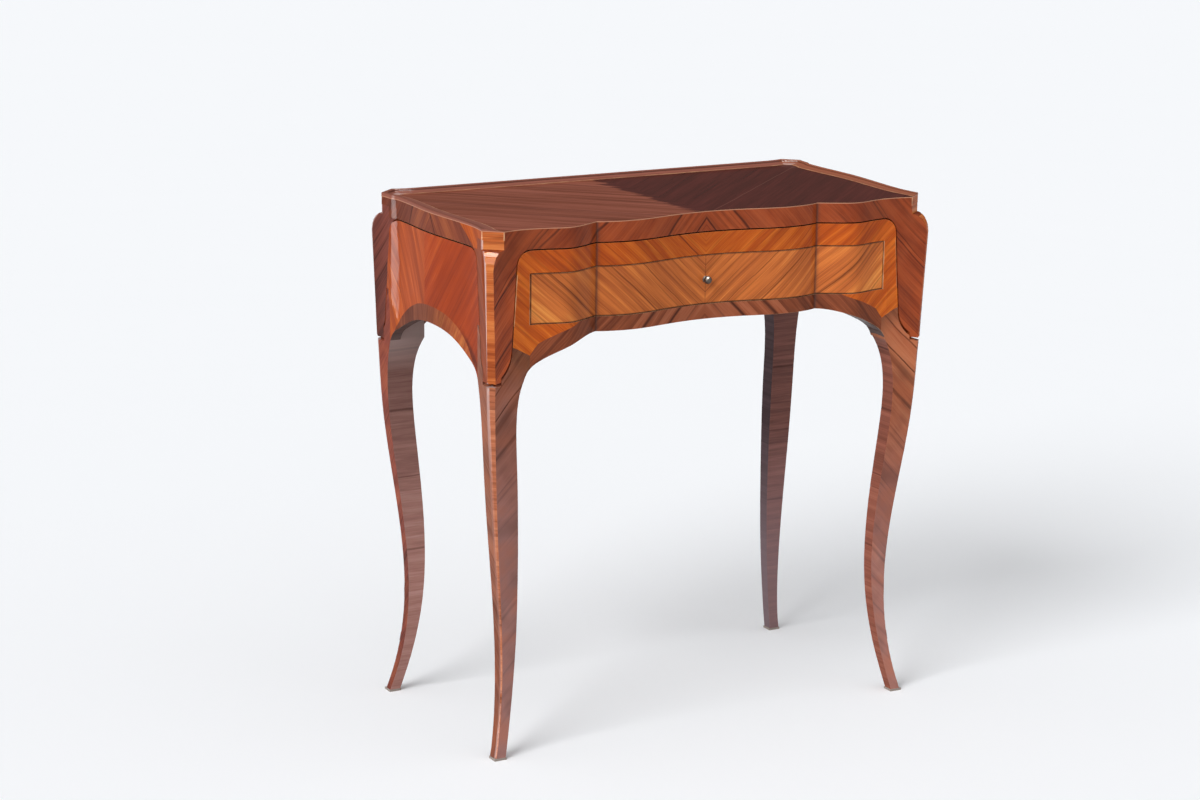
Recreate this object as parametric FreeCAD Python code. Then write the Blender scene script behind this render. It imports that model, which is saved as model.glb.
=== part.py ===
"""Veneered bed table: a stand with a drawer, and a bed tray that lifts off it.

Millimetres, +X to the right, +Y to the back, +Z up.  The origin is on the floor under the
middle of the table.  Corners are drawn for the front right one, in x and in "reach", the
distance from the middle towards the front, and mirrored to the other three.
"""
import FreeCAD
import Part
import math
import os

# Overall sizes
TABLE_WIDTH = 695.0          # across the flared corners, at the shoulders of the tray posts
TABLE_DEPTH = 357.6          # across the same corners, front to back
TOP_HEIGHT = 718.0           # veneered top above the floor

# Tray
RIM_HEIGHT = 5.5             # moulding above the top, at the back
RIM_FALL = 3.5               # fall of the moulding's top from the back to the front corners
RIM_WIDTH = 20.0             # moulding, from the outer face to its inner foot
RIM_FLAT = 8.0               # level top of the moulding
TOP_VENEER = 1.0
BOARD = 11.0                 # ground of the top
BAND = 27.2                  # tray's edge, from the top down to the seam
POST_LENGTH = 200.0          # from the top down to the tip of a tray post
POST_WING = 49.5             # wing of a tray post on the front or back, at its upper end
POST_RETURN = 47.5           # wing of a tray post on the side, at its upper end
WING_TAPER = 7.0             # narrowing of a front wing over its length
RETURN_TAPER = 13.0          # narrowing of a side wing over its length
WING_WALL = 14.0             # thickness of a wing
WING_FILLET = 22.0           # inner corner between the tray's edge and a wing
WING_FOOT = 42.0             # height of the curved end of a wing
POST_CHAMFER = 8.4           # outer corner of a tray post
BLOCK_CUT = 20.3             # wider chamfer of a corner block, beyond the post's on each face
BLOCK_HEIGHT = 24.0          # corner block, from the top down to the rounded shoulder
SHOULDER_HEIGHT = 25.0       # rounded shoulder under a block
BATTEN_WIDTH = 34.0
BATTEN_OFFSET = 150.0        # from the middle of the table to a batten
SEAM = 1.6                   # open joint between tray and stand
TIP_GAP = 5.0                # notch under the tip of a tray post
POST_CLEARANCE = 0.8         # behind the wings of a tray post

# Plan of the front and sides, measured from their plain faces
FRONT_FLARE = 14.8           # corner in front of the plain face
SIDE_FLARE = 11.0            # corner outside the plain face
SIDE_FLARE_START = 73.8      # from the corner to the start of the side's flare
CENTRE_WIDTH = 345.0         # between the two creases
CREASE_DEPTH = 11.5          # crease behind the plain face
CREASE_TURN = 23.0           # set-back at which the two curves run into a crease
HOLLOW_DEPTH = 18.0          # middle of the front behind the plain face
BULGE_DEPTH = 1.0            # bulge inside each crease behind the plain face
BULGE_INSET = 42.5           # from a crease to the bulge
SWELL = 11.0                 # swelling outside each crease in front of the plain face
SWELL_OUT = 49.5             # from a crease to the swelling
SIDE_SWELL = 4.0             # bow of a side at its middle

# Stand
DRAWER_RAIL = 30.2           # rail above the drawer
DRAWER_OPENING = 68.0        # height of the drawer opening
DRAWER_STILE = 20.7          # upright between the drawer and a tray post
APRON = 20.5                 # lower rail at the middle
ARCH_DROP = 2.5              # crown of a side arch below the front apron's edge
FRAME_DEPTH = 36.0           # front rails, back from the plain face
DECK = 8.2
STUMP_DEPTH = 37.0           # leg post inside the case, front to back
STUMP_FOOT = 31.0            # lower end of that post, below the drawer opening
KNEE_SET_X = 6.5             # leg corner at the knee inside the shoulder corner
KNEE_SET_Y = 3.8
KNEE_WIDTH = 56.0            # leg at the knee, across
KNEE_DEPTH = 43.0            # leg at the knee, front to back
KNEE_CHAMFER = 8.0
FOOT_CHAMFER = 2.0
FOOT_PAD = 3.0
FOOT_PAD_LAP = 1.0           # pad beyond the foot

# Cabriole leg from foot to knee: share of its height, set-in of its outer corner from the
# knee's in x and in y, width across, depth
LEG_STATIONS = (
    (0.00, 13.0, 5.0, 16.0, 15.0),
    (0.09, 23.5, 14.5, 16.0, 16.0),
    (0.29, 31.0, 26.0, 23.0, 18.0),
    (0.46, 25.5, 24.5, 30.0, 19.5),
    (0.62, 16.0, 16.0, 35.0, 23.0),
    (0.77, 7.5, 7.0, 37.5, 26.0),
    (0.90, 2.5, 3.0, 41.0, 30.0),
    (1.00, 0.0, 0.0, KNEE_WIDTH, KNEE_DEPTH),
)
KNEE_TURN = 8                # power that keeps the turn of the leg's faces close to the knee
FACE_HOLLOW = 0.15           # least hollow of a leg's outer faces

# Lower edge of the front, from the crease to the leg, and of the side, from its middle to
# the leg: share of the way across, share of the way down
BRACKET = ((0.0, 0.0), (0.29, 0.095), (0.78, 0.52), (1.0, 1.0))
ARCH = ((0.0, 0.0), (0.45, 0.16), (0.81, 0.56), (1.0, 1.0))
BRACKET_LEAN = 0.3           # way across for each unit down, where the edge meets the leg
ARCH_LEAN = 0.4

# Cove of the rim's moulding: share of its height, share of the cove's width
COVE = ((0.0, 1.0), (0.15, 1.0), (0.34, 0.55), (0.7, 0.2), (1.0, 0.0))
SHOULDER_STEPS = 4           # levels of the rounded shoulder

# Drawer and what carries it
DRAWER_GAP = 0.8             # round the drawer front
DRAWER_SPACE = 39.2          # clear behind the drawer
DRAWER_SIDE = 9.0
DRAWER_BOTTOM = 6.0
BOTTOM_LIFT = 3.0            # bottom board above the lower edge of the sides
SIDE_LIFT = 2.5              # lower edge of the sides above the lower rail
SIDE_DROP = 6.0              # upper edge of the sides below the upper rail
SIDE_INSET = 1.5             # sides inside the ends of the front
RUNNING_GAP = 0.3
RUNNER_WIDTH = 20.0
RUNNER_HEIGHT = 12.0
GUIDE_HEIGHT = 13.0
STOP_LENGTH = 12.0
STOP_HEIGHT = 16.0
KNOB_DIAMETER = 10.8
KNOB_REACH = 12.0            # in front of the drawer
KNOB_NECK = 5.0
ROSE_DIAMETER = 9.0          # collar where the knob meets the veneer
ROSE_HEIGHT = 1.4
SHANK_DIAMETER = 3.6
SHANK_GAP = 0.2
NUT_SIZE = 8.0               # across its corners
NUT_HEIGHT = 3.0

# Places worked out from the sizes
CORNER_X = TABLE_WIDTH / 2
CORNER_Y = TABLE_DEPTH / 2
FACE_X = CORNER_X - SIDE_FLARE
FACE_Y = CORNER_Y - FRONT_FLARE
KNEE_X = CORNER_X - KNEE_SET_X
KNEE_Y = CORNER_Y - KNEE_SET_Y
JOINT_X = KNEE_X - KNEE_WIDTH
JOINT_Y = KNEE_Y - KNEE_DEPTH
FLARE_Y = CORNER_Y - SIDE_FLARE_START
CREASE_X = CENTRE_WIDTH / 2
CREASE_Y = FACE_Y - CREASE_DEPTH
WING_X = FACE_X - WING_WALL
WING_Y = FACE_Y - WING_WALL
CASE_X = WING_X - POST_CLEARANCE
CASE_Y = WING_Y - POST_CLEARANCE
WING_EDGE = CORNER_X - POST_WING
RETURN_EDGE = CORNER_Y - POST_RETURN
FRAME_Y = FACE_Y - FRAME_DEPTH
GROUND_TOP = TOP_HEIGHT - TOP_VENEER
GROUND_BOTTOM = GROUND_TOP - BOARD
RIM_TOP = TOP_HEIGHT + RIM_HEIGHT
BAND_BOTTOM = TOP_HEIGHT - BAND
STAND_TOP = BAND_BOTTOM - SEAM
TIP_Z = TOP_HEIGHT - POST_LENGTH
BLOCK_Z = TOP_HEIGHT - BLOCK_HEIGHT
SHOULDER_Z = BLOCK_Z - SHOULDER_HEIGHT
DECK_Z = STAND_TOP - DECK
OPENING_TOP = STAND_TOP - DRAWER_RAIL
OPENING_BOTTOM = OPENING_TOP - DRAWER_OPENING
APRON_Z = OPENING_BOTTOM - APRON
ARCH_Z = APRON_Z - ARCH_DROP
OPENING_X = WING_EDGE - DRAWER_STILE
SIDE_X = OPENING_X - DRAWER_GAP - SIDE_INSET
SIDE_BOTTOM = OPENING_BOTTOM + SIDE_LIFT
SIDE_TOP = OPENING_TOP - SIDE_DROP
DRAWER_END = CASE_Y - DRAWER_SPACE
RUNNER_TOP = SIDE_BOTTOM - RUNNING_GAP
KNOB_Z = (OPENING_TOP + OPENING_BOTTOM) / 2
KNOB_Y = HOLLOW_DEPTH - FACE_Y
FAR = TABLE_WIDTH            # well outside the table
SAME_PLACE = 1e-6            # points closer than this are one


def point(x, y, z=0.0):
    return FreeCAD.Vector(x, y, z)


def line(start, end):
    return Part.LineSegment(start, end).toShape()


def arc(start, middle, end):
    return Part.Arc(start, middle, end).toShape()


def spline(points, start_way, end_way):
    """A smooth curve through the points, leaving and arriving along the given directions."""
    curve = Part.BSplineCurve()
    curve.interpolate(Points=points, InitialTangent=start_way, FinalTangent=end_way)
    return curve.toShape()


def chain(*points):
    """Straight edges from point to point, where the points differ."""
    pairs = zip(points, points[1:])
    return [line(start, end) for start, end in pairs if start.distanceToPoint(end) > SAME_PLACE]


def box(x1, x2, y1, y2, z1, z2):
    return Part.makeBox(x2 - x1, y2 - y1, z2 - z1, point(x1, y1, z1))


def extruded(edges, way):
    """Close the edges into a face and extrude it along a vector."""
    return Part.Face(Part.Wire(edges)).extrude(way)


def across_x(shape):
    return shape.mirror(point(0, 0), point(1, 0))


def across_y(shape):
    return shape.mirror(point(0, 0), point(0, 1))


def four_corners(shape):
    """The front right shape at each corner, by the corner's name."""
    return {
        "front_right": shape,
        "front_left": across_x(shape),
        "back_right": across_y(shape),
        "back_left": across_x(across_y(shape)),
    }


def largest(shape):
    """The main solid of a cut, with faces that were split joined again."""
    return max(shape.removeSplitter().Solids, key=lambda solid: solid.Volume)


class Level:
    """The table's outline at one height.

    Each flare is an arc that leaves the plain face tangent and ends at the corner's chamfer.
    A trim cuts the arcs short, which widens the chamfer.
    """

    def __init__(self, z, corner_x, corner_y, chamfer, trim=0.0):
        self.z = z
        self.front_run = corner_x - chamfer - JOINT_X
        self.front_rise = corner_y - FACE_Y
        self.side_run = corner_y - chamfer - FLARE_Y
        self.side_rise = corner_x - FACE_X
        self.trim = trim

    def front_point(self, along):
        """x and reach on the front flare, at a distance from its start."""
        radius = (self.front_run ** 2 + self.front_rise ** 2) / (2 * self.front_rise)
        return JOINT_X + along, FACE_Y + radius - math.sqrt(radius ** 2 - along ** 2)

    def side_point(self, along):
        """x and reach on the side flare, at a distance from its start."""
        radius = (self.side_run ** 2 + self.side_rise ** 2) / (2 * self.side_rise)
        return FACE_X + radius - math.sqrt(radius ** 2 - along ** 2), FLARE_Y + along

    def front_end(self):
        return self.front_point(self.front_run - self.trim)

    def side_end(self):
        return self.side_point(self.side_run - self.trim)

    def corner(self, sign_x, sign_y):
        """Front flare, chamfer and side flare of one corner, from front to side."""
        def place(spot):
            return point(sign_x * spot[0], sign_y * spot[1], self.z)
        front_length = self.front_run - self.trim
        side_length = self.side_run - self.trim
        front = [place(self.front_point(share * front_length)) for share in (0, 0.5, 1)]
        side = [place(self.side_point(share * side_length)) for share in (1, 0.5, 0)]
        return [arc(*front), line(front[2], side[0]), arc(*side)]

    def side(self, sign):
        """The bowed side between its two flares, from front to back."""
        points = [point(sign * FACE_X, -FLARE_Y, self.z), point(sign * (FACE_X + SIDE_SWELL), 0, self.z),
                  point(sign * FACE_X, FLARE_Y, self.z)]
        return spline(points, point(0, 1), point(0, 1))

    def swelling(self, sign):
        """The front from a crease out to the start of the flare."""
        points = [point(sign * CREASE_X, -CREASE_Y, self.z),
                  point(sign * (CREASE_X + SWELL_OUT), -FACE_Y - SWELL, self.z),
                  point(sign * JOINT_X, -FACE_Y, self.z)]
        return spline(points, point(sign * SWELL_OUT, -CREASE_TURN), point(sign, 0))

    def hollow(self, sign):
        """The front from its middle out to a crease: hollow in the middle, with a bulge inside the crease."""
        points = [point(0, KNOB_Y, self.z),
                  point(sign * (CREASE_X - BULGE_INSET), BULGE_DEPTH - FACE_Y, self.z),
                  point(sign * CREASE_X, -CREASE_Y, self.z)]
        return spline(points, point(sign, 0), point(sign * BULGE_INSET, CREASE_TURN))

    def wire(self):
        """The whole outline, anticlockwise from the left crease."""
        back = line(point(JOINT_X, FACE_Y, self.z), point(-JOINT_X, FACE_Y, self.z))
        edges = [self.hollow(-1), self.hollow(1), self.swelling(1)]
        edges += self.corner(1, -1)
        edges.append(self.side(1))
        edges += reversed(self.corner(1, 1))
        edges.append(back)
        edges += self.corner(-1, 1)
        edges.append(self.side(-1))
        edges += reversed(self.corner(-1, -1))
        edges.append(self.swelling(-1))
        return Part.Wire(edges)


def shoulder_level(step):
    """A level of the rounded shoulder, on a quarter ellipse from the post up to the block."""
    angle = step / SHOULDER_STEPS * math.pi / 2
    z = SHOULDER_Z + SHOULDER_HEIGHT * math.sin(angle)
    return Level(z, CORNER_X, CORNER_Y, POST_CHAMFER, BLOCK_CUT * (1 - math.cos(angle)))


knee_level = Level(TIP_Z, KNEE_X, KNEE_Y, KNEE_CHAMFER)
top_level = Level(TOP_HEIGHT, CORNER_X, CORNER_Y, POST_CHAMFER, BLOCK_CUT)


def case_body():
    """The outer form of the table from the knees to the top, before it is parted."""
    levels = [knee_level]
    levels += [shoulder_level(step) for step in range(SHOULDER_STEPS + 1)]
    levels.append(top_level)
    return Part.makeLoft([level.wire() for level in levels], True, True)


def wing_edges(place, edge, taper, corner, grow, drop):
    """Outline of a post's wing seen square on, where place(across, z) gives a point.

    From the seam round the fillet, down the inner edge, and out along the curved foot to
    the tip, then back outside the corner.  Grow moves the inner edge into the stand, and
    drop lowers the tip.
    """
    radius = WING_FILLET - grow
    turn_x = edge - WING_FILLET
    turn_z = BAND_BOTTOM - WING_FILLET
    diagonal = math.sqrt(0.5)
    tip_z = TIP_Z - drop
    foot_x = edge + taper - grow
    foot_z = TIP_Z + WING_FOOT
    seam_end = place(turn_x, turn_z + radius)
    fillet_middle = place(turn_x + diagonal * radius, turn_z + diagonal * radius)
    fillet_end = place(turn_x + radius, turn_z)
    foot = place(foot_x, foot_z)
    bend = place(foot_x + (1 - diagonal) * (corner - foot_x), foot_z - diagonal * (foot_z - tip_z))
    tip = place(corner, tip_z)
    inner = [arc(seam_end, fillet_middle, fillet_end), line(fillet_end, foot), arc(foot, bend, tip)]
    outer = [tip, place(FAR, tip_z), place(FAR, BAND_BOTTOM), place(turn_x, BAND_BOTTOM), seam_end]
    return inner + chain(*outer)


def post_space(grow, drop, wall_x, wall_y):
    """The space of the front right tray post's two wings, outside two upright planes."""
    def on_front(across, z):
        return point(across, -FAR, z)

    def on_side(across, z):
        return point(wall_x, -across, z)
    front = wing_edges(on_front, WING_EDGE, WING_TAPER, CORNER_X, grow, drop)
    side = wing_edges(on_side, RETURN_EDGE, RETURN_TAPER, CORNER_Y, grow, drop)
    wings = [extruded(front, point(0, FAR - wall_y)), extruded(side, point(FAR, 0))]
    return wings[0].fuse(wings[1])


body = case_body()
post_cut = post_space(SEAM, TIP_GAP, CASE_X, CASE_Y)
front_cuts = post_cut.fuse(across_x(post_cut))
side_cuts = post_cut.fuse(across_y(post_cut))
back_cuts = across_y(front_cuts)
nodes = {}


# Legs

def leg_section(share, set_x, set_y, width, depth):
    """The leg's outline at one station: two slightly hollow faces, a chamfer and two inner faces."""
    z = FOOT_PAD + share * (TIP_Z - FOOT_PAD)
    corner_x = KNEE_X - set_x
    corner_y = KNEE_Y - set_y
    chamfer = FOOT_CHAMFER + (KNEE_CHAMFER - FOOT_CHAMFER) * share ** 2
    turn = share ** KNEE_TURN
    joint_along = JOINT_Y - FLARE_Y
    middle_along = (knee_level.side_run + joint_along) / 2
    side_set = KNEE_X - knee_level.side_point(joint_along)[0]
    front_middle = knee_level.front_point(knee_level.front_run / 2)[1]
    side_middle = knee_level.side_point(middle_along)[0]
    front_hollow = turn * ((FACE_Y + KNEE_Y) / 2 - front_middle) + FACE_HOLLOW * (1 - turn)
    side_hollow = turn * (KNEE_X - side_set / 2 - side_middle) + FACE_HOLLOW * (1 - turn)
    front_inner = point(corner_x - width, turn * (KNEE_Y - FACE_Y) - corner_y, z)
    front_outer = point(corner_x - chamfer, -corner_y, z)
    side_outer = point(corner_x, chamfer - corner_y, z)
    side_inner = point(corner_x - turn * side_set, depth - corner_y, z)
    inner = point(corner_x - width, depth - corner_y, z)
    front_bend = (front_inner + front_outer) / 2 + point(0, front_hollow)
    side_bend = (side_outer + side_inner) / 2 - point(side_hollow, 0)
    edges = [arc(front_inner, front_bend, front_outer), line(front_outer, side_outer),
             arc(side_outer, side_bend, side_inner), line(side_inner, inner), line(inner, front_inner)]
    return Part.Wire(edges)


def leg():
    """Front right leg: cabriole shaft, knee under the tray post, and a post inside the case."""
    shaft = Part.makeLoft([leg_section(*station) for station in LEG_STATIONS], True, False)
    knee = body.common(box(JOINT_X, FAR, -FAR, -JOINT_Y, TIP_Z, OPENING_BOTTOM))
    stump = box(JOINT_X, CASE_X, -CASE_Y, STUMP_DEPTH - CASE_Y, OPENING_BOTTOM - STUMP_FOOT, DECK_Z)
    return largest(shaft.fuse(knee).fuse(stump).cut(post_cut))


def foot_pad():
    """Flat pad under the front right foot."""
    set_x, set_y, width, depth = LEG_STATIONS[0][1:]
    right = KNEE_X - set_x + FOOT_PAD_LAP
    front = KNEE_Y - set_y + FOOT_PAD_LAP
    lap = 2 * FOOT_PAD_LAP
    return box(right - width - lap, right, -front, depth + lap - front, 0, FOOT_PAD)


for corner_name, shape in four_corners(leg()).items():
    nodes[corner_name + "_leg"] = shape
for corner_name, shape in four_corners(foot_pad()).items():
    nodes[corner_name + "_foot_pad"] = shape


# Case of the stand

def bracket_edge(y):
    """Lower edge of the front or back between the legs, from right to left."""
    run = JOINT_X - CREASE_X
    fall = APRON_Z - TIP_Z
    spots = [point(CREASE_X + across * run, y, APRON_Z - down * fall) for across, down in BRACKET]
    right = spline(spots, point(1, 0), point(BRACKET_LEAN, 0, -1))
    middle = line(spots[0], point(-CREASE_X, y, APRON_Z))
    return [right, middle, across_x(right)]


def apron_region(y, *right):
    """Front or back apron seen square on: right is its end as x and z, from the leg upwards."""
    ends = [point(x, y, z) for x, z in right]
    others = [point(-spot.x, y, spot.z) for spot in reversed(ends)]
    return chain(*ends, *others) + bracket_edge(y)[::-1]


def front_frame():
    """Front of the case: full depth between the legs, and a facing in front of their posts."""
    deep = box(-JOINT_X, JOINT_X, -FAR, -FRAME_Y, TIP_Z, STAND_TOP)
    facing = box(-WING_X, WING_X, -FAR, -CASE_Y, OPENING_BOTTOM, STAND_TOP)
    return body.common(deep.fuse(facing)).cut(front_cuts)


def side_panel():
    """Right side of the case with its arched lower edge."""
    fall = ARCH_Z - TIP_Z
    spots = [point(CASE_X, across * JOINT_Y, ARCH_Z - down * fall) for across, down in ARCH]
    arch = spline(spots, point(0, 1), point(0, ARCH_LEAN, -1))
    ends = [spots[-1], point(CASE_X, JOINT_Y, OPENING_BOTTOM), point(CASE_X, CASE_Y, OPENING_BOTTOM),
            point(CASE_X, CASE_Y, STAND_TOP)]
    others = [point(spot.x, -spot.y, spot.z) for spot in reversed(ends)]
    board = extruded([arch] + chain(*ends, *others) + [across_y(arch)], point(FAR, 0))
    return largest(body.common(board).cut(side_cuts))


frame = front_frame()
rail_slab = box(-FAR, FAR, -FAR, 0, OPENING_TOP, STAND_TOP)
stile_slab = box(OPENING_X, FAR, -FAR, 0, OPENING_BOTTOM, OPENING_TOP)
leg_end = ((JOINT_X, TIP_Z), (JOINT_X, OPENING_BOTTOM))
apron_slab = extruded(apron_region(-FAR, *leg_end), point(0, FAR))
case_end = leg_end + ((WING_X, OPENING_BOTTOM), (WING_X, STAND_TOP))
back_board = extruded(apron_region(CASE_Y, *case_end), point(0, FAR))
nodes["front_upper_rail"] = largest(frame.common(rail_slab))
nodes["front_right_stile"] = largest(frame.common(stile_slab))
nodes["front_left_stile"] = across_x(nodes["front_right_stile"])
nodes["front_apron"] = largest(frame.common(apron_slab))
nodes["back_panel"] = largest(body.common(back_board).cut(back_cuts))
nodes["right_side_panel"] = side_panel()
nodes["left_side_panel"] = across_x(nodes["right_side_panel"])
nodes["deck_board"] = box(-CASE_X, CASE_X, -FRAME_Y, CASE_Y, DECK_Z, STAND_TOP)


# Drawer carriers

runner = box(JOINT_X - RUNNER_WIDTH, JOINT_X, -FRAME_Y, CASE_Y, RUNNER_TOP - RUNNER_HEIGHT, RUNNER_TOP)
guide = box(SIDE_X + RUNNING_GAP, JOINT_X, -FRAME_Y, DRAWER_END, RUNNER_TOP, RUNNER_TOP + GUIDE_HEIGHT)
kicker = box(JOINT_X - RUNNER_WIDTH, JOINT_X, -FRAME_Y, CASE_Y, SIDE_TOP + RUNNING_GAP, DECK_Z)
stop_start = DRAWER_END + RUNNING_GAP
stop = box(JOINT_X - RUNNER_WIDTH, JOINT_X, stop_start, stop_start + STOP_LENGTH,
           RUNNER_TOP, RUNNER_TOP + STOP_HEIGHT)
for name, shape in (("drawer_runner", runner), ("drawer_guide", guide),
                    ("drawer_kicker", kicker), ("drawer_stop", stop)):
    nodes["right_" + name] = shape
    nodes["left_" + name] = across_x(shape)


# Drawer

def turned(profile, base_y):
    """Turn a profile of radius and distance to the front about the knob's axis."""
    axis = point(0, base_y, KNOB_Z)
    spots = [axis + point(radius, -ahead) for radius, ahead in profile]
    face = Part.Face(Part.makePolygon(spots + [spots[0]]))
    return face.revolve(axis, point(0, 1), 360)


def knob():
    """Turned pull: shank through the front, collar, neck and a ball."""
    ball = KNOB_DIAMETER / 2
    ball_y = KNOB_Y - KNOB_REACH + ball
    shank_length = -FRAME_Y - KNOB_Y + NUT_HEIGHT
    shank = Part.makeCylinder(SHANK_DIAMETER / 2, shank_length, point(0, KNOB_Y, KNOB_Z), point(0, 1))
    collar = turned([(0, 0), (ROSE_DIAMETER / 2, 0), (KNOB_NECK / 2, ROSE_HEIGHT), (0, ROSE_HEIGHT)], KNOB_Y)
    neck = Part.makeCylinder(KNOB_NECK / 2, KNOB_Y - ball_y, point(0, ball_y, KNOB_Z), point(0, 1))
    sphere = Part.makeSphere(ball, point(0, ball_y, KNOB_Z))
    return shank.fuse(collar).fuse(neck).fuse(sphere).removeSplitter()


def knob_nut():
    """Six-sided nut on the shank, behind the drawer front."""
    angles = [step * math.pi / 3 for step in range(7)]
    radius = NUT_SIZE / 2
    spots = [point(radius * math.cos(angle), -FRAME_Y, KNOB_Z + radius * math.sin(angle)) for angle in angles]
    blank = Part.Face(Part.makePolygon(spots)).extrude(point(0, NUT_HEIGHT))
    bore = Part.makeCylinder(SHANK_DIAMETER / 2, NUT_HEIGHT, point(0, -FRAME_Y, KNOB_Z), point(0, 1))
    return blank.cut(bore)


front_end_x = OPENING_X - DRAWER_GAP
front_blank = body.common(box(-front_end_x, front_end_x, -FAR, -FRAME_Y,
                              OPENING_BOTTOM + DRAWER_GAP, OPENING_TOP - DRAWER_GAP))
shank_hole = Part.makeCylinder(SHANK_DIAMETER / 2 + SHANK_GAP, FAR, point(0, -FAR, KNOB_Z), point(0, 1))
collar_seat = Part.makeCylinder(ROSE_DIAMETER / 2 + SHANK_GAP, FAR, point(0, KNOB_Y, KNOB_Z), point(0, -1))
drawer_side = box(SIDE_X - DRAWER_SIDE, SIDE_X, -FRAME_Y, DRAWER_END, SIDE_BOTTOM, SIDE_TOP)
inside_x = SIDE_X - DRAWER_SIDE
back_start = DRAWER_END - DRAWER_SIDE
bottom_z = SIDE_BOTTOM + BOTTOM_LIFT
nodes["drawer_front"] = largest(front_blank.cut(shank_hole).cut(collar_seat))
nodes["drawer_right_side"] = drawer_side
nodes["drawer_left_side"] = across_x(drawer_side)
nodes["drawer_back"] = box(-inside_x, inside_x, back_start, DRAWER_END, bottom_z + DRAWER_BOTTOM, SIDE_TOP)
nodes["drawer_bottom"] = box(-inside_x, inside_x, -FRAME_Y, DRAWER_END, bottom_z, bottom_z + DRAWER_BOTTOM)
nodes["drawer_knob"] = knob()
nodes["knob_nut"] = knob_nut()


# Tray

def tray_post():
    """Front right corner of the tray: a block under the top and an angle of two hanging wings."""
    wings = post_space(0, 0, WING_X, WING_Y)
    block = box(WING_EDGE, FAR, -FAR, -RETURN_EDGE, BAND_BOTTOM, GROUND_BOTTOM)
    return largest(body.common(wings.fuse(block)))


def rim_mitre(inset):
    """How far a line moved in by an inset stops short at the rim's back corners, which turn by an eighth."""
    return inset * math.tan(math.pi / 8)


def dish_wire(rise, share):
    """Inner outline of the rim at a height on its cove, open past the front.

    The flares and the bow of the outline are moved in by the cove's inset, and end short of
    the back corners by the mitre that the inset makes there.
    """
    z = TOP_HEIGHT + rise * RIM_HEIGHT
    inset = RIM_FLAT + share * (RIM_WIDTH - RIM_FLAT)
    mitre = rim_mitre(inset)
    front_length = top_level.side_run - BLOCK_CUT
    side_length = front_length - mitre
    back_length = top_level.front_run - BLOCK_CUT - mitre

    def on_side(along, sign):
        x, reach = top_level.side_point(along)
        return point(x - inset, sign * reach, z)

    def on_back(along):
        x, reach = top_level.front_point(along)
        return point(x, reach - inset, z)
    front_flare = [on_side(length, -1) for length in (front_length, front_length / 2, 0)]
    back_flare = [on_side(length, 1) for length in (0, side_length / 2, side_length)]
    back_curve = [on_back(length) for length in (back_length, back_length / 2, 0)]
    bow = spline([front_flare[2], point(FACE_X + SIDE_SWELL - inset, 0, z), back_flare[0]],
                 point(0, 1), point(0, 1))
    outside = point(front_flare[0].x, -FAR, z)
    half = [line(outside, front_flare[0]), arc(*front_flare), bow, arc(*back_flare),
            line(back_flare[2], back_curve[0]), arc(*back_curve)]
    bridge = line(back_curve[2], point(-JOINT_X, back_curve[2].y, z))
    front = line(point(-outside.x, -FAR, z), outside)
    return Part.Wire(half + [bridge] + [across_x(edge) for edge in reversed(half)] + [front])


def rim_pieces():
    """Moulding round the back and sides of the top, parted at its mitres."""
    band = Part.Face(top_level.wire()).extrude(point(0, 0, RIM_HEIGHT))
    dish = Part.makeLoft([dish_wire(*step) for step in COVE], True, True)
    fall = extruded(chain(point(-FAR, FACE_Y, RIM_TOP), point(-FAR, -CORNER_Y, RIM_TOP - RIM_FALL),
                          point(-FAR, -CORNER_Y, RIM_TOP), point(-FAR, FACE_Y, RIM_TOP)), point(2 * FAR, 0))
    rim = band.cut(dish).cut(fall)
    end_x, end_y = top_level.side_end()
    back_x, back_y = top_level.front_end()
    reach = 2 * RIM_WIDTH
    skew = rim_mitre(reach)
    corner_region = extruded(chain(point(end_x + reach, end_y + skew, TOP_HEIGHT),
                                   point(back_x + skew, back_y + reach, TOP_HEIGHT),
                                   point(back_x - skew, back_y - reach, TOP_HEIGHT),
                                   point(end_x - reach, end_y - skew, TOP_HEIGHT),
                                   point(end_x + reach, end_y + skew, TOP_HEIGHT)),
                             point(0, 0, RIM_HEIGHT))
    corner = rim.common(corner_region)
    rest = rim.cut(corner_region).cut(across_x(corner_region))
    back = max(rest.Solids, key=lambda solid: solid.CenterOfMass.y)
    side = max(rest.Solids, key=lambda solid: solid.CenterOfMass.x)
    return back, side, corner


batten = box(BATTEN_OFFSET - BATTEN_WIDTH / 2, BATTEN_OFFSET + BATTEN_WIDTH / 2,
             -FRAME_Y, WING_Y, STAND_TOP, GROUND_BOTTOM)
rim_back, rim_side, rim_corner = rim_pieces()
ground = box(-FAR, FAR, -FAR, FAR, GROUND_BOTTOM, GROUND_TOP)
half_top = box(0, FAR, -FAR, FAR, GROUND_TOP, TOP_HEIGHT)
front_band = box(-WING_EDGE, WING_EDGE, -FAR, -FRAME_Y, BAND_BOTTOM, GROUND_BOTTOM)
back_band = box(-WING_EDGE, WING_EDGE, WING_Y, FAR, BAND_BOTTOM, GROUND_BOTTOM)
side_band = box(WING_X, FAR, -RETURN_EDGE, RETURN_EDGE, BAND_BOTTOM, GROUND_BOTTOM)
for corner_name, shape in four_corners(tray_post()).items():
    nodes["tray_" + corner_name + "_post"] = shape
nodes["tray_front_rail"] = largest(body.common(front_band))
nodes["tray_back_rail"] = largest(body.common(back_band))
nodes["tray_right_rail"] = largest(body.common(side_band))
nodes["tray_left_rail"] = across_x(nodes["tray_right_rail"])
nodes["tray_board"] = largest(body.common(ground))
nodes["top_right_veneer"] = largest(body.common(half_top))
nodes["top_left_veneer"] = across_x(nodes["top_right_veneer"])
nodes["right_batten"] = batten
nodes["left_batten"] = across_x(batten)
nodes["back_rim"] = rim_back
nodes["right_rim"] = rim_side
nodes["left_rim"] = across_x(rim_side)
nodes["right_rim_corner"] = rim_corner
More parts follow.
